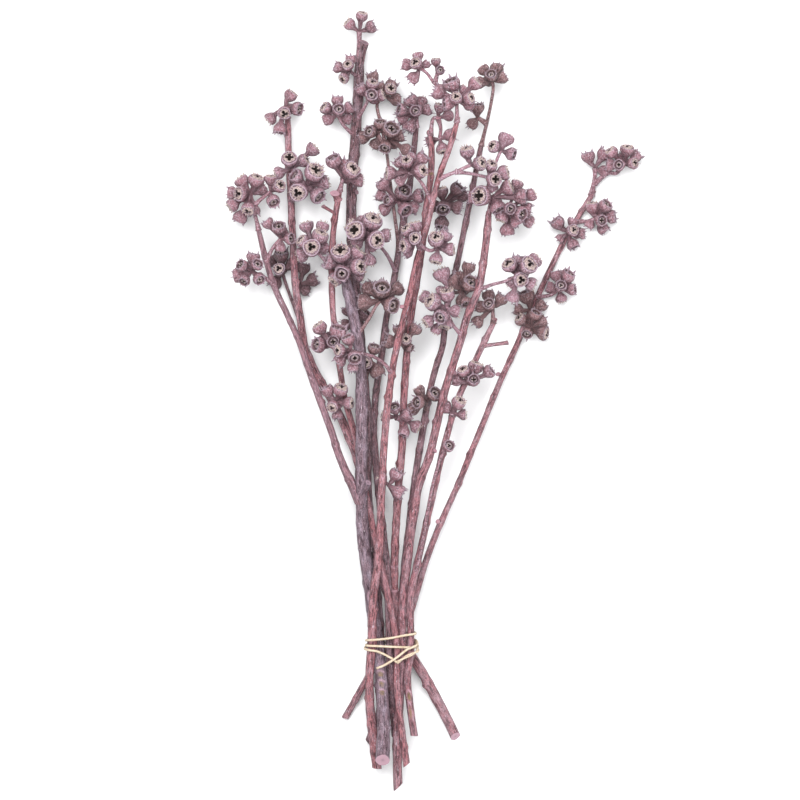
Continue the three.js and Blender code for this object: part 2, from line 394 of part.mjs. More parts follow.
// The fan's capsules, with those above and below that its plan leaves out.
function filledOut(fan) {
  if (fan.length < FULL_FAN) return fan;
  const heading = new THREE.Vector2();
  fan.forEach(([bearing]) => {
    const angle = THREE.MathUtils.degToRad(bearing);
    heading.x += Math.cos(angle);
    heading.y += Math.sin(angle);
  });
  const middle = THREE.MathUtils.radToDeg(heading.angle());
  const full = [...fan, [middle, ...UNDERSIDE_CAPSULE]];
  if (fan.every(([, lift]) => lift < FACES_UP)) full.push([middle, ...TOP_CAPSULE]);
  return full;
}

function makeSpray([name, colour, stemName, growsAt, twigPlans], stems) {
  const stem = stems.find((s) => s.name === stemName);
  const root = onStem(stem, along(growsAt));
  const twigs = [];
  const capsules = [];
  twigPlans.forEach(([plan, fan], index) => {
    const points = plan.map((p) => place(p, stem.tieX).add(root.shift));
    const path = index === 0 ? [root.centre, ...points] : points;
    path.slice(1).forEach((p) => { p.z = Math.max(p.z, TWIG_DIAMETER / 2); });
    twigs.push(path);
    const hub = path[path.length - 1];
    filledOut(fan).forEach(([bearing, lift, size, stalk]) => {
      const flat = Math.cos(THREE.MathUtils.degToRad(lift));
      const aim = new THREE.Vector3(
        flat * Math.cos(THREE.MathUtils.degToRad(bearing)),
        flat * Math.sin(THREE.MathUtils.degToRad(bearing)),
        Math.sin(THREE.MathUtils.degToRad(lift)));
      const radius = (size * CAPSULE_DIAMETER) / 2;
      const centre = hub.clone().addScaledVector(aim, stalk + CUP_CENTRE * radius);
      capsules.push({ hub, aim, radius, centre, start: centre.clone(), owner: name });
    });
  });
  return { name, colour, stem, twigs, capsules };
}

function nearestOnSegment(p, a, b) {
  const way = b.clone().sub(a);
  const t = THREE.MathUtils.clamp(p.clone().sub(a).dot(way) / way.lengthSq(), 0, 1);
  return a.clone().addScaledVector(way, t);
}

// Capsules crowd against one another, the stems and other twigs, and none sinks below 0.
function settleCapsules(sprays, stems) {
  const capsules = sprays.flatMap((spray) => spray.capsules);
  const bars = [];
  stems.forEach((stem) => stem.sections.slice(1).forEach((s, i) => {
    const below = stem.sections[i];
    bars.push({ a: below.centre, b: s.centre, radius: (below.radius + s.radius) / 2, owner: null });
  }));
  sprays.forEach((spray) => spray.twigs.forEach((path) => path.slice(1).forEach((p, i) => {
    bars.push({ a: path[i], b: p, radius: TWIG_DIAMETER / 2, owner: spray.name });
  })));
  for (let round = 0; round < SETTLE_ROUNDS; round++) {
    const pushes = capsules.map((one, i) => {
      const push = new THREE.Vector3();
      capsules.forEach((other, j) => {
        if (i === j) return;
        const apart = one.centre.clone().sub(other.centre);
        const short = (one.radius + other.radius) * CROWDING + CLEARANCE - apart.length();
        if (short > 0) push.add(apart.setLength(short * CAPSULE_PUSH));
      });
      bars.forEach((bar) => {
        if (bar.owner === one.owner) return;
        const apart = one.centre.clone().sub(nearestOnSegment(one.centre, bar.a, bar.b));
        const short = one.radius * CROWDING + bar.radius + CLEARANCE - apart.length();
        if (short > 0) push.add(apart.setLength(short * STEM_PUSH));
      });
      return push;
    });
    capsules.forEach((one, i) => {
      one.centre.add(pushes[i]);
      const moved = one.centre.clone().sub(one.start);
      const sideways = Math.hypot(moved.x, moved.y);
      const allowed = Math.min(1, SIDEWAYS_LIMIT / Math.max(sideways, 1e-6));
      one.centre.set(one.start.x + moved.x * allowed, one.start.y + moved.y * allowed, one.centre.z);
      one.centre.z = Math.max(one.centre.z, one.radius * CUP_REACH);
    });
  }
  capsules.forEach((one) => {
    const pull = one.centre.clone().sub(one.hub).normalize();
    one.aim.addScaledVector(pull, AIM_PULL).normalize();
  });
}

// A closed three.js geometry as a solid.
function toSolid(geometry) {
  const bare = geometry.clone();
  bare.deleteAttribute("normal");
  bare.deleteAttribute("uv");
  const merged = mergeVertices(bare, 1e-4);
  const corners = merged.index.array;
  const kept = [];
  for (let i = 0; i < corners.length; i += 3) {
    const [a, b, c] = [corners[i], corners[i + 1], corners[i + 2]];
    if (a !== b && b !== c && c !== a) kept.push(a, b, c);
  }
  return new wasm.Manifold(new wasm.Mesh({
    numProp: 3,
    vertProperties: new Float32Array(merged.attributes.position.array),
    triVerts: new Uint32Array(kept),
  }));
}

function toGeometry(solid) {
  const mesh = solid.getMesh();
  const geometry = new THREE.BufferGeometry();
  geometry.setAttribute("position", new THREE.BufferAttribute(mesh.vertProperties, 3));
  geometry.setIndex(new THREE.BufferAttribute(mesh.triVerts, 1));
  geometry.computeVertexNormals();
  return geometry;
}

// A round, tapering bar through the points: a cylinder whose rings are carried along the path.
function barGeometry(points, radii, sides) {
  const steps = points.length - 1;
  const geometry = new THREE.CylinderGeometry(1, 1, steps, sides, steps);
  const frames = [];
  let side = new THREE.Vector3(1, 0, 0);
  points.forEach((p, i) => {
    const ahead = points[Math.min(i + 1, steps)].clone().sub(points[Math.max(i - 1, 0)]).normalize();
    if (i === 0 && Math.abs(ahead.x) > 0.9) side.set(0, 0, 1);
    side = side.clone().addScaledVector(ahead, -side.dot(ahead)).normalize();
    frames.push({ side, lift: new THREE.Vector3().crossVectors(side, ahead) });
  });
  const position = geometry.attributes.position;
  for (let v = 0; v < position.count; v++) {
    const k = Math.round(position.getY(v) + steps / 2);
    const { side: across, lift } = frames[k];
    const spot = points[k].clone()
      .addScaledVector(across, position.getX(v) * radii[k])
      .addScaledVector(lift, position.getZ(v) * radii[k]);
    position.setXYZ(v, spot.x, spot.y, spot.z);
  }
  return geometry;
}

function barSolid(points, radii, sides, grow) {
  const ends = points.map((p) => p.clone());
  const last = ends.length - 1;
  ends[0].addScaledVector(points[0].clone().sub(points[1]).normalize(), grow);
  ends[last].addScaledVector(points[last].clone().sub(points[last - 1]).normalize(), grow);
  return toSolid(barGeometry(ends, radii.map((r) => r + grow), sides));
}

function stemSolid(stem, grow) {
  const points = stem.sections.map((s) => s.centre);
  const roundness = 1 / Math.cos(Math.PI / STEM_SIDES);
  const radii = stem.sections.map((s) => s.radius + grow * (roundness - 1));
  return barSolid(points, radii, STEM_SIDES, grow);
}

// A seed capsule: a cup on its stalk, with a dished mouth. Its foot is drawn out to the point it hangs from.
function capsuleSolid({ hub, aim, radius, centre }, grow) {
  const r = radius + grow;
  const profile = [[0, 0], [1, 0.85], [0.8, 1.45], [0, 1.2]];
  const outline = profile.map(([out, up]) => new THREE.Vector2(out * r, up * radius + (up > 1 ? grow : 0)));
  const geometry = new THREE.LatheGeometry(outline, CAPSULE_SIDES);
  const turn = new THREE.Quaternion().setFromUnitVectors(new THREE.Vector3(0, 1, 0), aim);
  const foot = centre.clone().addScaledVector(aim, -CUP_CENTRE * radius);
  geometry.applyQuaternion(turn);
  geometry.translate(foot.x, foot.y, foot.z);
  const position = geometry.attributes.position;
  for (let v = 0; v < position.count; v += profile.length) position.setXYZ(v, hub.x, hub.y, hub.z);
  return toSolid(geometry);
}

function spraySolid(spray, grow) {
  const twigRadius = TWIG_DIAMETER / 2;
  const bars = spray.twigs.map((path) => {
    const tip = path.length - 1;
    const radii = path.map((_, i) => twigRadius * (i === tip ? TWIG_TIP_SHARE : 1));
    return barSolid(path, radii, TWIG_SIDES, grow);
  });
  const cups = spray.capsules.map((capsule) => capsuleSolid(capsule, grow));
  const knuckles = spray.twigs.map((path) => {
    const knuckle = new THREE.OctahedronGeometry(KNUCKLE_DIAMETER / 2 + grow);
    return toSolid(knuckle.translate(...path[path.length - 1].toArray()));
  });
  return [...bars, ...knuckles, ...cups].reduce((whole, piece) => whole.add(piece));
}

// The tie's turns follow the outline of the bundle: the furthest that any stem reaches in each direction,
// with a strand as wide as the tie bearing on it.
function bundleOutline(stems, y) {
  const discs = [];
  stems.filter((stem) => stem.low < y && stem.high > y).forEach((stem) => {
    [y - TIE_STRAND / 2, y + TIE_STRAND / 2].forEach((edge) => {
      const { centre, reach } = onStem(stem, edge);
      discs.push({ x: centre.x, z: centre.z, reach });
    });
  });
  const middle = new THREE.Vector2();
  discs.forEach((disc) => middle.add(new THREE.Vector2(disc.x, disc.z).divideScalar(discs.length)));
  const support = (angle) => Math.max(...discs.map((disc) =>
    (disc.x - middle.x) * Math.cos(angle) + (disc.z - middle.y) * Math.sin(angle) + disc.reach));
  return (angle, offset) => {
    let distance = Infinity;
    for (let k = -OUTLINE_STEPS; k <= OUTLINE_STEPS; k++) {
      const lean = (k / OUTLINE_STEPS) * OUTLINE_LEAN;
      distance = Math.min(distance, (support(angle + lean) + offset) / Math.cos(lean));
    }
    return new THREE.Vector3(
      middle.x + distance * Math.cos(angle),
      y,
      middle.y + distance * Math.sin(angle));
  };
}

function tieTurnSolid(turn, stems) {
  const radius = TIE_STRAND / 2;
  const ringPoints = [];
  for (let k = 0; k < TIE_STEPS; k++) {
    const angle = (k / TIE_STEPS) * Math.PI * 2;
    const quarter = (k / TIE_STEPS) * 4;
    const from = turn[Math.floor(quarter)];
    const to = turn[(Math.floor(quarter) + 1) % 4];
    const ease = THREE.MathUtils.smoothstep(quarter % 1, 0, 1);
    const y = along(PLAN_TIE) + THREE.MathUtils.lerp(from, to, ease) - PLAN_TIE;
    ringPoints.push(bundleOutline(stems, y)(angle, radius + TIE_GAP));
  }
  const geometry = new THREE.TorusGeometry(2, 1, TIE_SIDES, TIE_STEPS);
  const position = geometry.attributes.position;
  for (let v = 0; v < position.count; v++) {
    const j = Math.floor(v / (TIE_STEPS + 1));
    const k = (v % (TIE_STEPS + 1)) % TIE_STEPS;
    const here = ringPoints[k];
    const ahead = ringPoints[(k + 1) % TIE_STEPS].clone().sub(ringPoints[(k + TIE_STEPS - 1) % TIE_STEPS]);
    const out = new THREE.Vector3().crossVectors(ahead.normalize(), new THREE.Vector3(0, 1, 0)).normalize();
    const up = new THREE.Vector3().crossVectors(out, ahead);
    const round = ((j + 0.5) / TIE_SIDES) * Math.PI * 2;
    const spot = here.clone()
      .addScaledVector(out, Math.cos(round) * radius)
      .addScaledVector(up, Math.sin(round) * radius);
    position.setXYZ(v, spot.x, spot.y, spot.z);
  }
  return toSolid(geometry);
}

const stems = [...STEMS.slice(0, 1), FORK, ...STEMS.slice(1)].map(makeStem);
settleStems(stems);
const sprays = SPRAYS.map((plan) => makeSpray(plan, stems));
settleCapsules(sprays, stems);

const bunch = new THREE.Group();
const pieces = [];

function addPiece(name, colour, solid, keepOut) {
  const material = new THREE.MeshStandardMaterial({ color: COLOURS[colour], roughness: 0.8, metalness: 0 });
  const mesh = new THREE.Mesh(toGeometry(solid), material);
  mesh.name = name;
  mesh.geometry.computeBoundingBox();
  bunch.add(mesh);
  pieces.push({ name, keepOut, box: mesh.geometry.boundingBox });
}

// What is left of a solid after the pieces already in place, each with its clearance, are pressed into it.
function pressedInto(solid) {
  const size = solid.boundingBox();
  const box = new THREE.Box3(new THREE.Vector3(...size.min), new THREE.Vector3(...size.max));
  const near = pieces.filter((p) => p.box.clone().expandByScalar(CLEARANCE * 2).intersectsBox(box));
  const left = near.reduce((rest, p) => rest.subtract(p.keepOut), solid);
  return left.decompose().sort((a, b) => b.volume() - a.volume())[0];
}

const [trunk, leader, ...others] = stems;
addPiece("stem_lilac", trunk.colour, stemSolid(trunk, 0).add(stemSolid(leader, 0)),
  stemSolid(trunk, CLEARANCE).add(stemSolid(leader, CLEARANCE)));
others.forEach((stem) => {
  addPiece(`stem_${stem.name}`, stem.colour, pressedInto(stemSolid(stem, 0)), stemSolid(stem, CLEARANCE));
});
const turns = TIE_TURNS.map((turn) => tieTurnSolid(turn, stems));
const tie = turns.reduce((whole, piece) => whole.add(piece));
addPiece("tie", "tie", tie, tie);
sprays.forEach((spray) => {
  const solid = pressedInto(spraySolid(spray, 0));
  addPiece(`spray_${spray.name}`, spray.colour, solid, spraySolid(spray, CLEARANCE));
});

const bounds = new THREE.Box3().setFromObject(bunch);
const middle = bounds.getCenter(new THREE.Vector3());
bunch.position.set(-middle.x, -middle.y, -bounds.min.z);

export default bunch;
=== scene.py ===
"""Looks for a tied bunch of preserved gumnut stems, lying down and seen from above.

The plan of stems and sprays repeats the CAD model's, in millimetres: +X across the bunch, +Y from the cut
ends to the heads, +Z up. The stems and capsules settle against one another as they do there, and each CAD
node is replaced by one detailed mesh in the same place.
"""

import math

import bpy
import numpy as np
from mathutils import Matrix, Vector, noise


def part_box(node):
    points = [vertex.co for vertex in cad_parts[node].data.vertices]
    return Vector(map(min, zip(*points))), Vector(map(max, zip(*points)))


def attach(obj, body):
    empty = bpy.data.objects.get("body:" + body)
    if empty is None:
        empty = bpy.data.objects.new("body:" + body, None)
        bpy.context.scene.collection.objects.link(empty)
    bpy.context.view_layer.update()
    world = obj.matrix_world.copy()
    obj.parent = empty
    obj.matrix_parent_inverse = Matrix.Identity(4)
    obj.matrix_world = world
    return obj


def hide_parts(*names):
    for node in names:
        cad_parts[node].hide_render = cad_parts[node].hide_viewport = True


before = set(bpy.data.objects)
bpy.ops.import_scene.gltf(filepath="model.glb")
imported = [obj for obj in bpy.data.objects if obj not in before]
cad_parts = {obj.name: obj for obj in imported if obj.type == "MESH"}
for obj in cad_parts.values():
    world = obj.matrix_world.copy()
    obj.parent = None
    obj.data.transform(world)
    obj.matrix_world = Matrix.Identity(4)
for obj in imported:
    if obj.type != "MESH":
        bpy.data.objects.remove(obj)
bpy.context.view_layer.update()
MM = 0.001  # metres in a millimetre

# Sizes that the CAD model sets, mm
HEAD_SAG = 14  # how far the heads lie below the line of the tied stems
CAPSULE_DIAMETER = 12.3  # a ripe capsule across its shoulder
TWIG_DIAMETER = 2.2
CLEARANCE = 0.3  # gap between pieces that touch
TIE_STRAND = 1.5  # thickness of the tie
PLAN_TIE = -142.5  # where along the plan the tie is
PLAN_HEADS = 98  # where along the plan the heads have sagged all the way
STATION = 16  # spacing of the sections along a stem
SIDEWAYS_LIMIT = 2.5  # how far a crowded capsule may move across

# How the pieces settle, as in the CAD model
SETTLE_ROUNDS = 60
SMOOTHED_ROUNDS = 0.7  # share of the rounds in which a stem's shifts are evened out along it
OWN_SHIFT, NEXT_SHIFT = 0.6, 0.2  # shares of a section's own shift and of each neighbour's, when evened out
ACROSS_PUSH = 0.5  # share of the sideways part of a push that is kept, as stems pass over one another
CAPSULE_PUSH, BAR_PUSH = 0.3, 0.5  # shares of an overlap made good in one round
TURNED_AIM = 0.6  # how strongly a capsule's aim turns away from its fan's hub
CROWDING = 0.96  # share of a capsule's radius that keeps others out
CUP_CENTRE = 0.75  # height of a capsule's middle above its foot, as a share of its radius
CUP_REACH = 1.06  # height of that middle above the surface, at the least, as a share of its radius

# Stems: name, colour, radius at the cut end and at the tip, then [across, along, up] from cut end to tip.
STEMS = [
  ["lilac", "lilac", 3.9, 3.1, [[-30, -207.5, 30], [-30, -172, 28], [-32.5, -147, 26], [-35, -126, 28.5],
    [-38, -103, 33], [-41, -80, 38], [-42, -57, 42], [-42, -29, 46], [-42, 0, 48], [-43, 29, 50],
    [-46, 46, 51], [-49, 60, 52], [-51.5, 71, 53]]],
  ["tall", "dusk", 3.2, 3, [[-27, -202, 20], [-28.5, -172, 19], [-30, -142, 18], [-32.5, -115, 19.5],
    [-35.5, -92, 21.5], [-38.5, -57, 25.5], [-39.5, -29, 27], [-40, 0, 28], [-43, 34, 28], [-46, 69, 28],
    [-48, 106, 28], [-47.5, 126, 28], [-45.5, 155, 28], [-44, 178, 28], [-43.5, 198, 28]]],
  ["front", "rose", 2.7, 1.6, [[-32.5, -213, 20], [-36.5, -175, 25], [-36.5, -155, 30], [-35.5, -142, 32],
    [-35, -115, 38], [-32, -92, 43.5], [-30.5, -57, 51], [-29, -29, 55], [-26.5, 0, 58], [-22, 29, 61],
    [-15, 57, 64], [-10, 80, 66.5], [-7, 92, 67.5], [-2.5, 103, 69], [-1, 115, 70], [2, 126, 71],
    [6.5, 138, 72], [10, 149, 73], [13.5, 161, 73]]],
  ["mid_right", "pink", 2.7, 2.1, [[-21, -224, 20], [-21.5, -195, 22], [-20, -172, 23.5], [-18.5, -142, 25.5],
    [-17.5, -115, 29], [-15, -92, 33], [-13, -75, 36], [-10, -57, 40], [-8, -46, 42], [-3.5, -34, 44],
    [-0.5, -23, 46], [4.5, 0, 49.5], [8, 12, 51], [13.5, 29, 53], [18, 46, 55], [23.5, 57, 56.5],
    [26, 69, 57.5], [29, 86, 58.5], [31, 108, 60]]],
  ["back_right", "dusk", 2.4, 1.6, [[-38, -200, 8], [-28.5, -172, 13], [-21.5, -142, 18.5], [-18.5, -115, 19],
    [-16.5, -92, 20], [-12.5, -57, 22], [-7.5, -23, 24], [-1, 12, 26], [4.5, 29, 28], [7, 52, 30],
    [12.5, 75, 32], [19.5, 109, 34], [27.5, 149, 36]]],
  ["back_mid", "dusk", 2.4, 1.7, [[-22.5, -196, 14], [-24.5, -172, 20], [-26, -142, 28], [-26.5, -115, 26.5],
    [-28, -92, 26], [-31, -63, 24], [-34, -34, 22], [-35, -11, 22], [-33, 9, 23], [-30, 29, 24],
    [-28, 46, 24], [-24.5, 63, 24], [-22, 77, 25], [-19.5, 95, 26], [-16, 112, 27], [-12.5, 138, 29],
    [-10, 161, 31]]],
  ["mid", "rose", 2.6, 1.8, [[-35, -205, 12], [-29, -172, 16.5], [-24, -142, 22.5], [-24, -115, 23],
    [-23.5, -92, 25], [-21.5, -57, 30], [-18.5, -23, 34], [-17, 12, 38], [-14.5, 40, 42], [-11, 63, 45],
    [-6.5, 92, 47], [-4.5, 112, 48], [-1.5, 135, 50], [-2.5, 155, 52]]],
  ["far_right", "pink", 1.95, 1.6, [[-52, -185.5, 2.6], [-36, -157, 9.5], [-25.5, -142, 13.5],
    [-18, -132, 15], [-11.5, -115, 17], [-4.5, -92, 18], [4.5, -69, 18.5], [10.5, -57, 18.5],
    [20, -34, 18.5], [29.5, -11, 18.5],
    [39, 12, 18.5], [49, 34, 18.5], [55, 49, 18.5], [61, 62, 18.5], [66, 72, 18.5], [70.5, 82, 18.5],
    [76, 93, 18.5], [82.5, 104, 18.5], [88.5, 114, 19], [93.5, 122, 19]]],
  ["right", "pink", 2.2, 1.7, [[-12, -194, 24], [-15, -172, 26], [-16, -155, 28], [-14, -142, 28],
    [-14.5, -115, 30.5], [-10, -92, 33], [-4.5, -69, 34.5], [-2, -57, 35.5], [1, -46, 36.5], [3.5, -34, 37.5],
    [7, -23, 38], [10.5, -7, 39], [16, 6, 40], [21, 17, 40], [26.5, 29, 40], [32, 40, 40], [35.5, 47, 40]]],
  ["left", "pink", 3, 1.9, [[12.5, -196, 3.4], [0, -171, 8], [-13, -148, 12.5], [-16.5, -142, 13],
    [-22, -126, 12.5], [-26, -115, 13], [-33, -92, 15], [-39.5, -57, 18], [-45.5, -31, 21], [-51, -17, 22.5],
    [-59.5, 0, 24], [-66.5, 12, 25], [-74.5, 29, 27], [-76, 40, 27.5], [-79.5, 57, 28], [-81, 75, 28],
    [-82, 92, 28], [-83, 115, 28], [-84.5, 144, 29], [-85, 165, 30]]],
  ["mid_left", "rose", 2, 1.7, [[-16, -210, 33], [-21, -172, 32], [-22, -155, 31], [-21.5, -142, 31],
    [-24, -126, 32], [-26, -115, 33.5], [-31.5, -92, 37], [-35, -75, 36], [-39, -57, 35], [-44, -29, 33],
    [-47.5, -14, 34], [-51.5, 0, 35.5], [-53.5, 12, 37], [-56, 29, 40], [-58, 46, 43], [-59, 63, 45],
    [-59, 86, 47], [-57, 106, 50], [-54, 122, 52]]],
]

# The lilac stem's long side branch: a second leader that leaves it low down and leans to the left.
FORK = ["lilac_fork", "lilac", 2.3, 1.6, [[-42, -60, 41.5], [-48.5, -46, 43], [-55.5, -30, 44],
  [-59.5, -17, 44], [-66, 0, 43.5], [-72, 17, 43], [-78, 34, 42], [-86.5, 53, 41], [-93, 67, 40],
  [-97.5, 82, 39], [-102, 100, 38]]]

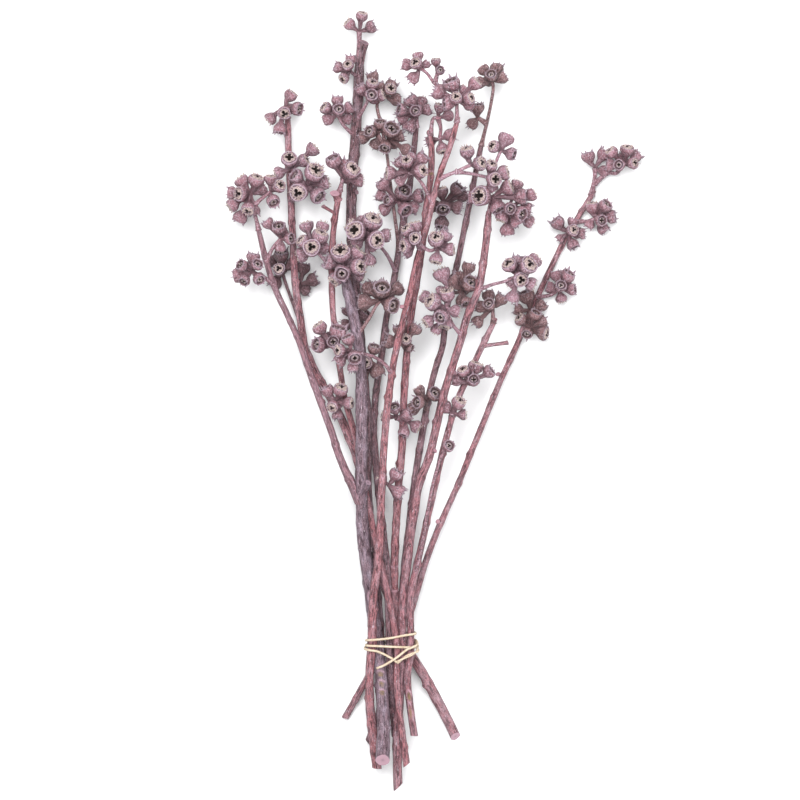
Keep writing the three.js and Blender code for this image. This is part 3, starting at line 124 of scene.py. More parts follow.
# Sprays: name, colour, the stem it grows on and how far along that stem, then its twigs. A twig is the points
# it runs through, the last being where its capsules fan out, and the capsules: [bearing in degrees from +X
# towards +Y, degrees of lift towards +Z, size as a share of a ripe capsule, stalk length].
SPRAYS = [
  ["tall_top", "mauve", "tall", 196, [
    [[[-43.5, 213.5, 28.5]], [[140, 15, 0.65, 3.5], [75, 20, 0.65, 5], [30, 10, 0.65, 3.5]]]]],
  ["tall_left", "mauve", "tall", 187, [
    [[[-48.5, 190, 36]],
      [[95, 5, 0.6, 2.3], [120, 55, 0.6, 2.3], [160, 10, 0.6, 2.3], [215, 35, 0.55, 2.3]]]]],
  ["tall_right", "mauve", "tall", 162, [
    [[[-40.5, 169, 35], [-37.5, 175, 38]],
      [[115, 25, 0.65, 2.3], [65, 35, 0.65, 2.3], [30, 5, 0.6, 2.3], [15, -40, 0.6, 2.3]]]]],
  ["tall_lower", "mauve", "tall", 153, [
    [[[-52.5, 159, 33], [-56, 165, 35]], [[140, 30, 0.65, 2.3], [85, 10, 0.65, 2.3], [42, 10, 0.6, 2.3],
      [195, -20, 0.65, 2.3], [355, -25, 0.6, 2.3]]]]],
  ["thin_branch", "brown", "back_mid", 87, [
    [[[-22, 100, 33], [-24.5, 118, 37], [-26.5, 135, 41], [-27.5, 145, 43], [-26.5, 150, 44]],
      [[55, 55, 0.85, 2.3], [10, 0, 0.65, 1.7], [250, 50, 0.65, 2.3], [335, 0, 0.65, 6.5]]],
    [[[-27.5, 145, 43], [-32.5, 153, 42]],
      [[150, 50, 0.65, 2.3], [95, 35, 0.65, 1.7], [190, -10, 0.65, 2.3], [230, -35, 0.6, 1.7]]],
    [[[-27.5, 145, 43], [-31, 160, 37], [-33, 171, 33], [-29, 176, 32]], [[118, 0, 0.65, 7],
      [60, -20, 0.65, 1.7], [5, -20, 0.65, 2.3], [100, 5, 0.6, 2.3]]]]],
  ["left_tip", "mauve", "left", 163, [
    [[[-86.5, 170, 32]], [[45, 10, 0.7, 1.7], [350, 35, 0.7, 1.7], [222, 0, 0.65, 7], [262, 5, 0.7, 9]]]]],
  ["left_big", "pale", "left", 115, [
    [[[-79, 120, 36], [-74, 124, 41]], [[140, 40, 0.75, 2.3], [50, 50, 1, 3], [235, 68, 0.95, 3],
      [325, 35, 0.8, 3.5], [15, 0, 0.8, 3.5], [70, -15, 0.65, 3.5]]],
    [[[-79, 120, 36], [-81.5, 129, 37], [-82, 134, 38]], [[75, 55, 0.8, 2.3], [25, 10, 0.7, 2.3],
      [40, 5, 0.7, 9.5], [200, 0, 0.65, 4.5]]]]],
  ["mid_left_top", "mauve", "mid_left", 120, [
    [[[-52.5, 127, 54]], [[112, 25, 0.8, 6], [50, 40, 0.9, 2.3], [5, -15, 0.7, 3], [80, -30, 0.7, 2.3]]]]],
  ["far_left_top", "mauve", "lilac_fork", 98, [
    [[[-104.5, 112, 38], [-106, 119, 39]], [[125, 10, 0.75, 2.3], [75, 20, 0.8, 2.3], [40, -20, 0.7, 2.3],
      [190, 42, 0.75, 2.3], [215, 5, 0.7, 7], [254, 35, 0.7, 4.6], [272, -5, 0.65, 6], [243, -10, 0.75, 9],
      [175, -10, 0.65, 5]]],
    [[[-104.5, 112, 38], [-100, 116, 40], [-94.5, 120, 42]],
      [[85, 20, 0.65, 2.3], [40, 50, 0.7, 2.3], [300, 45, 0.7, 1.7]]]]],
  ["left_inner", "mauve", "lilac_fork", 80, [
    [[[-93, 88, 42], [-88.5, 93, 42]],
      [[129, 5, 0.6, 7.5], [95, 42, 0.7, 3], [12, 45, 0.6, 2.3], [265, -20, 0.6, 1.7]]]]],
  ["left_outer", "mauve", "lilac_fork", 66, [
    [[[-98.5, 71, 45], [-105, 74, 47]], [[85, 12, 0.65, 2.3], [150, 42, 0.65, 2.3], [55, 55, 0.6, 2.3],
      [310, 52, 0.65, 1.7], [235, 45, 0.6, 3], [185, -20, 0.7, 2.3]]]]],
  ["left_dark", "dusk", "left", 43, [
    [[[-82, 56, 22], [-86, 67, 20], [-88.5, 75, 19]],
      [[95, 20, 0.8, 2.3], [125, -25, 0.7, 1.7], [40, -40, 0.65, 1.7], [235, -25, 0.7, 1.7]]]]],
  ["left_mid", "pale", "mid_left", 76, [
    [[[-64.5, 82, 50], [-69.5, 87, 50]], [[75, 25, 0.85, 1.7], [100, 68, 0.85, 1.7], [135, 30, 0.7, 1.7],
      [190, 0, 0.75, 1.7], [30, -30, 0.7, 1.7], [105, 0, 0.7, 8.5], [70, -10, 0.7, 8]]]]],
  ["centre_upper", "pale", "back_mid", 75, [
    [[[-27.5, 84, 40], [-33, 90, 51], [-39.5, 94, 55]], [[135, 12, 0.8, 3], [150, 66, 1, 2.3],
      [60, 40, 1, 2.3], [355, 55, 0.9, 2.3], [95, -5, 0.75, 2.3], [205, -15, 0.7, 2.3], [315, -20, 0.7, 2.3],
      [280, -15, 0.75, 8], [2, 0, 0.7, 6.5]]]]],
  ["centre_lower", "pale", "lilac", 68, [
    [[[-51.5, 76, 57]], [[97, 48, 1, 2.3], [160, 22, 0.8, 2.3], [245, 78, 0.85, 2.3], [12, 42, 0.85, 2.3],
      [45, 8, 0.8, 3.5], [230, 28, 0.75, 2.3], [345, 0, 0.75, 3]]]]],
  ["left_behind", "dusk", "left", 65, [
    [[[-78, 67, 24]], [[75, -5, 0.7, 3.5], [25, -10, 0.7, 1.7], [350, -20, 0.6, 1.2]]]]],
  ["centre_brown", "brown", "lilac", 37, [
    [[[-38, 46, 55], [-34, 53, 58], [-31, 57, 59]], [[85, 48, 0.9, 2.3], [352, 50, 0.85, 2.3],
      [172, -12, 0.85, 3.5], [135, -20, 0.8, 3], [110, 5, 0.75, 2.3], [35, -25, 0.7, 9]]]]],
  ["centre_dark", "dusk", "tall", 40, [
    [[[-45.5, 45, 34]], [[60, 20, 0.7, 1.7], [115, 5, 0.7, 1.7], [180, -15, 0.6, 1.7]]]]],
  ["mid_left_low", "mauve", "mid_left", 26, [
    [[[-58.5, 31, 46]],
      [[121, 15, 0.75, 6.5], [83, 24, 0.9, 2.3], [167, 36, 0.8, 2.3], [140, -40, 0.7, 1.7]]]]],
  ["centre_front", "mauve", "front", 15, [
    [[[-29, 21, 65], [-35.5, 25, 68], [-41.5, 26.5, 69], [-47.5, 28, 68]], [[118, 25, 0.65, 2.3],
      [185, 42, 0.65, 2.3], [275, 58, 0.7, 2.3], [268, 0, 0.6, 4.6], [225, 0, 0.65, 2.3]]]]],
  ["centre_low", "brown", "tall", 9, [
    [[[-38, 17, 36], [-37.5, 23, 40]],
      [[80, 28, 0.65, 1.7], [135, 5, 0.65, 1.7], [290, -10, 0.75, 1.7], [235, -15, 0.65, 1.7]]]]],
  ["mid_low", "brown", "mid", 28, [
    [[[-18.5, 32, 46]],
      [[150, 12, 0.7, 2.3], [105, 10, 0.7, 2.3], [52, 5, 0.65, 7.5], [340, 25, 0.45, 2.3]]]]],
  ["front_top", "mauve", "front", 158, [
    [[[12.5, 170, 76]], [[175, 12, 0.7, 2.3], [150, 8, 0.8, 4.6], [118, 18, 0.85, 3], [85, 52, 0.65, 1.7],
      [25, 38, 0.65, 2.3], [62, 8, 0.6, 2.3], [45, 12, 0.7, 8], [350, -25, 0.65, 3.5]]],
    [[[12.5, 170, 76], [5, 175, 75], [0, 180, 73], [-4.5, 186, 72], [-8.5, 189, 71]],
      [[168, -12, 0.65, 1.7], [215, -20, 0.65, 1.7], [105, -10, 0.55, 1.7], [55, -10, 0.45, 1.2]]],
    [[[0, 180, 73], [1.5, 186, 74]], [[95, 15, 0.5, 3], [60, 62, 0.5, 1.7]]]]],
  ["right_back_tip", "brown", "back_right", 147, [
    [[[31.5, 165, 38], [34, 179, 39], [33.5, 184, 39]],
      [[127, -15, 0.65, 2.3], [85, -20, 0.7, 2.3], [42, -10, 0.6, 2.3], [165, -5, 0.6, 3]]],
    [[[30, 160, 37.5], [25, 163, 38]], [[230, -30, 0.6, 1.2], [92, 15, 0.7, 1.7]]]]],
  ["back_mid_tip", "mauve", "back_mid", 158, [
    [[[-10, 166, 32.5]], [[132, 10, 0.7, 2.3], [85, -25, 0.65, 2.3], [165, 15, 0.65, 3], [205, 0, 0.7, 3],
      [245, -10, 0.7, 3], [28, 0, 0.6, 2.3]]]]],
  ["mid_tip", "mauve", "mid", 152, [
    [[[-1, 161, 54], [2, 162, 54]], [[75, 15, 0.6, 2.3], [20, -25, 0.6, 3]]],
    [[[2, 162, 54], [3.5, 156, 51], [3, 150, 49]],
      [[285, 20, 0.65, 2.3], [20, 5, 0.65, 2.3], [200, 0, 0.6, 2.3]]]]],
  ["right_mid", "pale", "front", 126, [
    [[[12, 130, 71], [20.5, 134, 69]], [[95, 30, 0.75, 2.3], [32, 50, 0.75, 1.7]]],
    [[[12, 130, 71], [21.5, 129, 67], [31, 127, 64]],
      [[58, 42, 0.65, 3], [15, 15, 0.75, 2.3], [20, 62, 0.8, 1.7], [300, -10, 0.65, 1.7]]],
    [[[31, 127, 64], [35, 136, 60], [38, 143, 58]],
      [[150, 42, 0.65, 1.7], [65, -10, 0.8, 1.7], [345, 18, 0.65, 2.3]]]]],
  ["right_tip", "mauve", "mid_right", 105, [
    [[[32.5, 116, 62]], [[175, 55, 1, 2.3], [180, -5, 0.7, 6], [20, 8, 0.75, 8], [2, 4, 0.8, 10],
      [295, 15, 0.75, 1.7]]],
    [[[32.5, 116, 62], [37.5, 113, 60], [42.5, 110, 58]],
      [[335, 38, 0.75, 1.7], [345, 0, 0.7, 4.6], [258, 0, 0.65, 2.3], [300, 0, 0.7, 2.3],
        [275, -20, 0.7, 6.5], [70, -5, 0.6, 11], [27, 0, 0.65, 9], [335, -20, 0.65, 9]]]]],
  ["upper_mid", "mauve", "front", 112, [
    [[[-6.5, 122, 71], [-11, 128, 68], [-14.5, 130, 66]], [[140, 25, 0.65, 2.3], [100, 38, 0.65, 1.7],
      [65, 5, 0.7, 2.3], [178, 8, 0.7, 4.6], [198, -5, 0.65, 3.5], [25, 40, 0.75, 3], [50, 10, 0.7, 4.6]]]]],
  ["mid_dark", "mauve", "back_mid", 102, [
    [[[-19.5, 110, 36], [-21, 115, 40]], [[35, 55, 0.85, 1.7], [325, 45, 0.75, 2.3], [170, 48, 0.6, 1.7],
      [160, -20, 0.65, 4.6], [205, -20, 0.65, 4.6], [10, 15, 0.7, 6.5], [340, -10, 0.7, 5],
      [133, 10, 0.7, 8.5]]]]],
  ["mid_right_dark", "dusk", "mid", 108, [
    [[[1, 111, 42], [6, 114, 40]],
      [[272, 45, 0.75, 1.7], [95, 15, 0.7, 1.7], [345, 0, 0.7, 1.7], [195, -20, 0.65, 1.7],
        [48, 20, 0.75, 5], [262, 15, 0.75, 6.5], [20, -15, 0.7, 6]]]]],
  ["front_pair", "pale", "front", 86, [
    [[[-10.5, 90, 72]], [[138, 25, 0.7, 2.3], [105, 15, 0.7, 3], [178, 28, 0.7, 2.3], [208, 0, 0.65, 2.3]]],
    [[[-10.5, 90, 72], [-3, 85, 72.5], [2, 87, 73]],
      [[75, 48, 0.85, 1.7], [42, 15, 0.7, 2.3], [10, 5, 0.65, 2.3], [260, 15, 0.65, 3.5]]]]],
  ["right_centre", "pale", "mid_right", 37, [
    [[[10.5, 43, 60], [6.5, 52, 63]], [[105, 32, 0.8, 3.5], [152, 38, 0.9, 2.3], [210, 42, 0.75, 2.3],
      [216, 18, 0.65, 7], [252, 22, 0.7, 3.5], [345, -10, 0.65, 1.7], [150, -5, 0.65, 9.5],
      [248, -15, 0.6, 8.5]]],
    [[[6.5, 52, 63], [7, 59, 60], [7, 65, 59]], [[113, -5, 0.85, 2.3], [205, -30, 0.5, 1.7]]]]],
  ["right_centre_back", "brown", "back_right", 63, [
    [[[13, 62, 39], [16, 63, 43]], [[58, 40, 0.9, 1.7], [122, 5, 0.8, 2.3], [90, -25, 0.65, 3],
      [58, -30, 0.6, 3.5], [272, -10, 0.65, 1.7], [285, 35, 0.6, 4.6], [76, -5, 0.7, 8.5]]]]],
  ["right_stem_tip", "brown", "right", 44, [
    [[[33.5, 53, 40]],
      [[65, 0, 0.7, 1.7], [155, -10, 0.65, 1.7], [222, -5, 0.65, 8], [110, -25, 0.65, 1.7]]]]],
  ["right_cluster", "pale", "mid_right", 63, [
    [[[33, 66, 61], [40.5, 68, 60], [47.5, 71, 59]], [[85, 15, 0.75, 2.3], [122, 42, 0.75, 2.3],
      [10, 72, 0.75, 1.7], [38, 45, 0.9, 2.3], [45, 0, 0.75, 7], [335, 0, 0.7, 2.3], [240, -25, 0.65, 2.3],
      [256, -10, 0.7, 7.5]]]]],
  ["far_right_low", "brown", "far_right", 46, [
    [[[56.5, 52, 22]], [[112, 10, 0.85, 2.3], [165, 0, 0.6, 3.5], [50, -20, 0.65, 1.7]]],
    [[[56.5, 52, 22], [56, 42, 22]], [[130, 25, 0.65, 3.5], [60, 20, 0.65, 2.3], [352, 12, 0.75, 1.7],
      [262, 55, 0.6, 1.7], [25, -25, 0.65, 1.7]]]]],
  ["far_right_mid", "mauve", "far_right", 60, [
    [[[67.5, 61, 22], [73.5, 65, 23]], [[55, 18, 0.75, 1.7], [15, 20, 0.6, 2.3], [292, 0, 0.6, 1.7],
      [150, -10, 0.6, 1.7], [100, -5, 0.65, 1.7]]]]],
  ["far_right_upper", "mauve", "far_right", 95, [
    [[[78, 97, 22.5]], [[125, 12, 0.75, 3], [72, 0, 0.55, 2.3], [222, -10, 0.5, 2.3], [300, 10, 0.65, 2.3],
      [0, -5, 0.55, 2.3]]]]],
  ["far_right_side", "mauve", "far_right", 104, [
    [[[89.5, 104, 22.5], [94.5, 106, 23]], [[87, 12, 0.75, 1.7], [45, 22, 0.7, 2.3], [8, 12, 0.7, 2.3],
      [318, -12, 0.65, 1.7], [250, -20, 0.55, 1.2]]]]],
  ["far_right_top", "mauve", "far_right", 119, [
    [[[93.5, 129, 21], [93.5, 135, 22]], [[100, 8, 0.7, 3], [55, 12, 0.75, 3], [0, -10, 0.6, 2.3]]],
    [[[93.5, 126, 20], [101, 132, 21], [106, 132, 23], [110, 137, 25]], [[150, 68, 0.6, 1.7],
      [30, 45, 0.6, 2.3], [135, 15, 0.65, 3.5], [85, 22, 0.7, 2.3], [45, 5, 0.65, 3.5],
      [165, 5, 0.65, 4.6]]]]],
  ["right_pods", "mauve", "right", 12, [
    [[[20.5, 10, 45.5]], [[105, 32, 0.65, 3], [70, 12, 0.8, 2.3], [40, 8, 0.65, 7], [163, -5, 0.65, 1.7]]]]],
  ["back_right_pair", "brown", "back_right", -6, [
    [[[-4.5, -1, 35]], [[48, 50, 0.75, 3.5], [180, 42, 0.7, 2.3], [135, -15, 0.6, 2.3], [192, 0, 0.7, 4]]]]],
  ["mid_pods", "mauve", "mid", -13, [
    [[[-22, -10, 41]], [[100, 42, 0.65, 1.7], [165, 5, 0.6, 2.3], [20, 15, 0.65, 1.7]]],
    [[[-22, -10, 41], [-16, -12, 37]], [[325, 5, 0.65, 2.3], [250, 0, 0.6, 2.3]]]]],
  ["right_low", "mauve", "right", -9, [
    [[[10, -7.5, 44]], [[55, 32, 0.75, 1.7], [5, 8, 0.55, 2.3], [132, 18, 0.65, 1.7]]]]],
  ["left_low", "mauve", "left", -8, [
    [[[-56, -4, 34], [-57, -1, 40]], [[110, 18, 0.7, 2.3], [75, 32, 0.75, 1.7], [5, 22, 0.65, 2.3],
      [248, 55, 0.65, 1.7], [275, 8, 0.55, 4]]]]],
  ["lower_bells", "mauve", "mid", -59, [
    [[[-24.5, -53, 38], [-26.5, -49, 42]], [[60, 8, 0.7, 2.3], [330, 4, 0.75, 2.3], [128, 5, 0.6, 1.7]]]]],
  ["single_bell", "mauve", "right", -104, [
    [[[-8, -84, 38], [-5, -66, 39.5], [-1.5, -48, 40.5], [2, -36, 41], [5, -28, 42]], [[35, 58, 0.6, 1.7]]]]],
]

# A full fan also has a capsule underneath and, if all of it faces sideways, one on top: lift, size, stalk.
FULL_FAN = 4
UNDERSIDE_CAPSULE = [-50, 0.6, 2.3]
TOP_CAPSULE = [58, 0.65, 2.3]
FACES_UP = 40  # lift of a capsule that already covers the top of its fan


# Where everything lies


def smooth_step(value, low, high):
    t = min(max((value - low) / (high - low), 0), 1)
    return t * t * (3 - 2 * t)


def place(point):
    """The planned point, lowered by the heads' sag."""
    x, y, z = point
    return np.array([x, y, z - HEAD_SAG * smooth_step(y, PLAN_TIE, PLAN_HEADS)], float)


def direction(bearing, lift):
    """A unit vector, from degrees round from +X towards +Y and degrees up."""
    bearing, lift = math.radians(bearing), math.radians(lift)
    return np.array([math.cos(lift) * math.cos(bearing), math.cos(lift) * math.sin(bearing), math.sin(lift)])


def curve_along(points):
    """A smooth curve through the points, as a function of y."""
    points = np.array(points, float)
    before = points[np.maximum(np.arange(len(points)) - 1, 0)]
    after = points[np.minimum(np.arange(len(points)) + 1, len(points) - 1)]
    slope = (after - before) / (after[:, 1] - before[:, 1])[:, None]

    def at(y):
        i = int(np.clip(np.searchsorted(points[:, 1], y, side="right") - 1, 0, len(points) - 2))
        a, b = points[i], points[i + 1]
        h = b[1] - a[1]
        t = (y - a[1]) / h
        spot = ((1 + 2 * t) * (1 - t) ** 2 * a + t * t * (3 - 2 * t) * b
                + t * (1 - t) ** 2 * h * slope[i] + t * t * (t - 1) * h * slope[i + 1])
        spot[1] = y
        return spot

    return at


def make_stem(plan):
    """A stem's sections, one at each end and one at every station between."""
    name, colour, butt_radius, tip_radius, points = plan
    points = [place(p) for p in points]
    curve = curve_along(points)
    low, high = points[0][1], points[-1][1]
    heights = [low]
    k = math.ceil(low / STATION)
    while k * STATION < high:
        y = k * STATION
        if y - low > STATION / 3 and high - y > STATION / 3:
            heights.append(y)
        k += 1
    heights.append(high)
    share = [(y - low) / (high - low) for y in heights]
    radius = np.array([butt_radius + (tip_radius - butt_radius) * s for s in share])
    lean = np.array([np.linalg.norm(curve(y + 1) - curve(y - 1)) / 2 for y in heights])
    return {"name": name, "colour": colour, "low": low, "high": high, "y": heights, "radius": radius,
            "reach": radius * lean, "centre": np.array([curve(y) for y in heights]),
            "shift": np.zeros((len(heights), 3))}


def settle_stems(stems):
    """Stems that cross push one another apart, as in the CAD model."""
    for turn in range(SETTLE_ROUNDS):
        pushes = [np.zeros_like(stem["shift"]) for stem in stems]
        for i, one in enumerate(stems):
            for j in range(i + 1, len(stems)):
                other = stems[j]
                if one["name"] == "lilac" and other["name"] == "lilac_fork":
                    continue
                for a, y in enumerate(one["y"]):
                    if y not in other["y"]:
                        continue
                    b = other["y"].index(y)
                    apart = one["centre"][a] + one["shift"][a] - other["centre"][b] - other["shift"][b]
                    short = one["reach"][a] + other["reach"][b] + 2 * CLEARANCE - np.linalg.norm(apart)
                    if short <= 0:
                        continue
                    apart[0] *= ACROSS_PUSH
                    apart *= short * 0.5 / np.linalg.norm(apart)
                    pushes[i][a] += apart
                    pushes[j][b] -= apart
        for stem, push in zip(stems, pushes):
            shift = stem["shift"]
            shift += push
            shift[:, 2] = np.maximum(shift[:, 2], stem["radius"] - stem["centre"][:, 2])
            if turn <= SETTLE_ROUNDS * SMOOTHED_ROUNDS:
                down = np.vstack([shift[:1], shift[:-1]])
                up = np.vstack([shift[1:], shift[-1:]])
                stem["shift"] = OWN_SHIFT * shift + NEXT_SHIFT * down + NEXT_SHIFT * up
    for stem in stems:
        stem["centre"] = stem["centre"] + stem["shift"]


def on_stem(stem, y, what="centre"):
    """The stem's centre, or its shift, at this height."""
    heights = stem["y"]
    i = max(1, int(np.searchsorted(heights, y)))
    t = (y - heights[i - 1]) / (heights[i] - heights[i - 1])
    return stem[what][i - 1] * (1 - t) + stem[what][i] * t


def filled_out(fan):
    """The fan's capsules, with those above and below that its plan leaves out."""
    if len(fan) < FULL_FAN:
        return fan
    bearings = [math.radians(capsule[0]) for capsule in fan]
    middle = math.degrees(math.atan2(sum(map(math.sin, bearings)), sum(map(math.cos, bearings))))
    full = fan + [[middle] + UNDERSIDE_CAPSULE]
    if all(capsule[1] < FACES_UP for capsule in fan):
        full.append([middle] + TOP_CAPSULE)
    return full


def make_spray(plan, stems):
    """A spray's twigs and capsules, before they settle."""
    name, colour, stem_name, grows_at, twig_plans = plan
    stem = stems[stem_name]
    start, shift = on_stem(stem, grows_at), on_stem(stem, grows_at, "shift")
    twigs, capsules = [], []
    for index, (points, fan) in enumerate(twig_plans):
        path = [place(p) + shift for p in points]
        if index == 0:
            path = [start] + path
        for p in path[1:]:
            p[2] = max(p[2], TWIG_DIAMETER / 2)
        twigs.append(path)
        hub = path[-1]
        for bearing, lift, size, stalk in filled_out(fan):
            aim = direction(bearing, lift)
            radius = size * CAPSULE_DIAMETER / 2
            capsules.append({"hub": hub, "aim": aim, "radius": radius,
                             "centre": hub + aim * (stalk + CUP_CENTRE * radius)})
    return {"name": name, "colour": colour, "stem": stem, "twigs": twigs, "capsules": capsules}


def settle_capsules(sprays, stems):
    """Capsules crowd against one another, the stems and other sprays' twigs, as in the CAD model."""
    capsules = [c for spray in sprays for c in spray["capsules"]]
    owner = np.array([i for i, spray in enumerate(sprays) for _ in spray["capsules"]])
    bars = [(stem["centre"][k], stem["centre"][k + 1], (stem["radius"][k] + stem["radius"][k + 1]) / 2, -1)
            for stem in stems for k in range(len(stem["y"]) - 1)]
    bars += [(path[k], path[k + 1], TWIG_DIAMETER / 2, i)
             for i, spray in enumerate(sprays) for path in spray["twigs"] for k in range(len(path) - 1)]
    bar_start, bar_end = np.array([b[0] for b in bars]), np.array([b[1] for b in bars])
    bar_radius, bar_owner = np.array([b[2] for b in bars]), np.array([b[3] for b in bars])
    way = bar_end - bar_start
    start = np.array([c["centre"] for c in capsules])
    radius = np.array([c["radius"] for c in capsules])
    centre = start.copy()
    for _ in range(SETTLE_ROUNDS):
        apart = centre[:, None] - centre[None]
        length = np.linalg.norm(apart, axis=2) + np.eye(len(centre)) * 1e6
        short = np.maximum((radius[:, None] + radius[None]) * CROWDING + CLEARANCE - length, 0)
        push = (apart / length[..., None] * (short * CAPSULE_PUSH)[..., None]).sum(1)
        along = ((centre[:, None] - bar_start) * way).sum(2) / (way * way).sum(1)
        apart = centre[:, None] - bar_start - way * np.clip(along, 0, 1)[..., None]
        length = np.linalg.norm(apart, axis=2)
        short = np.maximum(radius[:, None] * CROWDING + bar_radius + CLEARANCE - length, 0)
        short[owner[:, None] == bar_owner] = 0
        push += (apart / length[..., None] * (short * BAR_PUSH)[..., None]).sum(1)
        centre += push
        moved = centre[:, :2] - start[:, :2]
        allowed = np.minimum(1, SIDEWAYS_LIMIT / np.maximum(np.linalg.norm(moved, axis=1), 1e-6))
        centre[:, :2] = start[:, :2] + moved * allowed[:, None]
        centre[:, 2] = np.maximum(centre[:, 2], radius * CUP_REACH)
    for capsule, spot in zip(capsules, centre):
        capsule["centre"] = spot
        pull = spot - capsule["hub"]
        aim = capsule["aim"] + TURNED_AIM * pull / np.linalg.norm(pull)
        capsule["aim"] = aim / np.linalg.norm(aim)


stem_list = [make_stem(plan) for plan in STEMS[:1] + [FORK] + STEMS[1:]]
settle_stems(stem_list)
stems = {stem["name"]: stem for stem in stem_list}
sprays = [make_spray(plan, stems) for plan in SPRAYS]
settle_capsules(sprays, stem_list)


def plan_to_frame():
    """How far the CAD model was moved to stand its box on the origin, from where its stems are."""
    moves = []
    for stem in stem_list:
        if stem["name"] in ("lilac", "lilac_fork"):
            continue
        low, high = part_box(f"stem_{stem['name']}")
        reach = stem["radius"][:, None]
        own = (np.min(stem["centre"] - reach, axis=0) + np.max(stem["centre"] + reach, axis=0)) / 2
        moves.append((np.array(low) + np.array(high)) / 2 / MM - own)
    return np.median(moves, axis=0)


ORIGIN = plan_to_frame()


# Mesh work

UNDERSIDE_SHADE_START, UNDERSIDE_SHADE_SPAN = 0.75, 1.0  # painted shade: a point darkens as its facing up falls from this, over this span, so sides and undersides are coloured as if turned from the light


class Shape:
    """One mesh in the making. Rings of points are joined into skins. Each point carries what its material
    reads: grain (where it lies on the unrolled piece), pale, dark marks and painted shade, tint and scar, and
    painted shade where it faces sideways or down."""

    def __init__(self):
        self.points, self.faces, self.marks = [], [], []
        self.count = 0

    def add(self, points, grain, pale=0.0, deep=0.0, tint=0.5, scar=0.0):
        points = np.asarray(points, float)
        marks = np.zeros((len(points), 7))
        marks[:, :3] = grain
        marks[:, 3], marks[:, 4], marks[:, 5], marks[:, 6] = pale, deep, tint, scar
        self.points.append(points)
        self.marks.append(marks)
        self.count += len(points)
        return self.count - len(points)

    def skin(self, first, rings, sides, flip=False):
        """Quads between rings of points laid out ring after ring, starting at the point numbered first."""
        ring = np.arange(rings - 1)[:, None] * sides
        k = np.arange(sides)
        a, b = first + ring + k, first + ring + (k + 1) % sides
        quads = np.stack([a, a + sides, b + sides, b], 2).reshape(-1, 4)
        self.faces += (quads[:, ::-1] if flip else quads).tolist()

    def close(self, first, sides, centre, flip):
        """A fan from the ring of points starting at first to the single point centre."""
        for k in range(sides):
            a, b = first + k, first + (k + 1) % sides
            self.faces.append([a, b, centre] if flip else [b, a, centre])

    def build(self, name):
        """The finished Blender object, in metres and in the frame's place."""
        points = (np.vstack(self.points) + ORIGIN) * MM
        points[:, 2] = np.maximum(points[:, 2], 0)  # it rests on the surface
        mesh = bpy.data.meshes.new(name)
        mesh.from_pydata(points.tolist(), [], self.faces)
        marks = np.vstack(self.marks)
        grain = mesh.attributes.new("grain", "FLOAT_VECTOR", "POINT")
        grain.data.foreach_set("vector", marks[:, :3].ravel())
        for column, mark in ((3, "pale"), (4, "deep"), (5, "tint"), (6, "scar")):
            mesh.attributes.new(mark, "FLOAT", "POINT").data.foreach_set("value", marks[:, column])
        mesh.polygons.foreach_set("use_smooth", [True] * len(mesh.polygons))
        mesh.update()
        # Painted shade: points that face sideways or down are marked to be coloured darker, as if turned from
        # the light.
        facing = np.zeros(len(points) * 3)
        mesh.vertices.foreach_get("normal", facing)
        painted_underside_shade = np.clip((UNDERSIDE_SHADE_START - facing[2::3]) / UNDERSIDE_SHADE_SPAN, 0, 1)
        mesh.attributes.new("painted_underside_shade", "FLOAT", "POINT").data.foreach_set("value", painted_underside_shade)
        piece = bpy.data.objects.new(name, mesh)
        bpy.context.collection.objects.link(piece)
        return piece


def ring_round(path, side, lift, angle, across, up):
    """Points round the path at each angle, the reach across and the reach up being given."""
    return (path[:, None] + side[:, None] * np.cos(angle)[None, :, None] * across
            + lift[:, None] * np.sin(angle)[None, :, None] * up).reshape(-1, 3)


def run_along(path):
    """How far along the path each of its points is."""
    return np.concatenate([[0], np.cumsum(np.linalg.norm(np.diff(path, axis=0), axis=1))])


def unit(vectors):
    return vectors / np.linalg.norm(vectors, axis=-1, keepdims=True)


def frames_along(path, hint=(1, 0, 0)):
    """Two directions across the path at each of its points, turning as little as possible."""
    ahead = unit(np.gradient(path, axis=0))
    side = np.array(hint, float)
    if abs(ahead[0] @ side) > 0.9:
        side = np.array([0, 0, 1.0])
    sides = []
    for way in ahead:
        side = side - way * (side @ way)
        side = side / np.linalg.norm(side)
        sides.append(side)
    sides = np.array(sides)
    return sides, np.cross(sides, ahead), ahead


def smooth_path(points, spacing):
    """A rounded path through the points, as evenly spaced as the spacing allows."""
    points = np.array(points, float)
    if len(points) == 2:
        steps = max(int(np.linalg.norm(points[1] - points[0]) / spacing), 3)
        return points[0] + (points[1] - points[0]) * np.linspace(0, 1, steps + 1)[:, None]
    before = np.vstack([2 * points[0] - points[1], points[:-1]])
    after = np.vstack([points[1:], 2 * points[-1] - points[-2]])
    slope = (after - before) / 2
    path = []
    for i in range(len(points) - 1):
        steps = max(int(np.linalg.norm(points[i + 1] - points[i]) / spacing), 3)
        t = (np.arange(steps) / steps)[:, None]
        path.append((1 + 2 * t) * (1 - t) ** 2 * points[i] + t * t * (3 - 2 * t) * points[i + 1]
                    + t * (1 - t) ** 2 * slope[i] + t * t * (t - 1) * slope[i + 1])
    return np.vstack(path + [points[-1:]])


def bumps(coords, scale, seed):
    """Noise from -1 to 1 at each of the coordinates."""
    return np.array([noise.noise(Vector((x * scale + seed, y * scale, z * scale))) for x, y, z in coords])


KNUCKLE_LENGTH, KNUCKLE_WIDTH = 1.3, 0.55  # mm along a bar and radians round it that a bump spreads over
SLANT_REACH = 3  # how far along a bar its end's slant is felt, in radii
END_DOME = 0.35  # how far a closed end bulges, in radii
PITH_FROM = 1.8  # mm: a cut end with a larger radius than this shows its pith


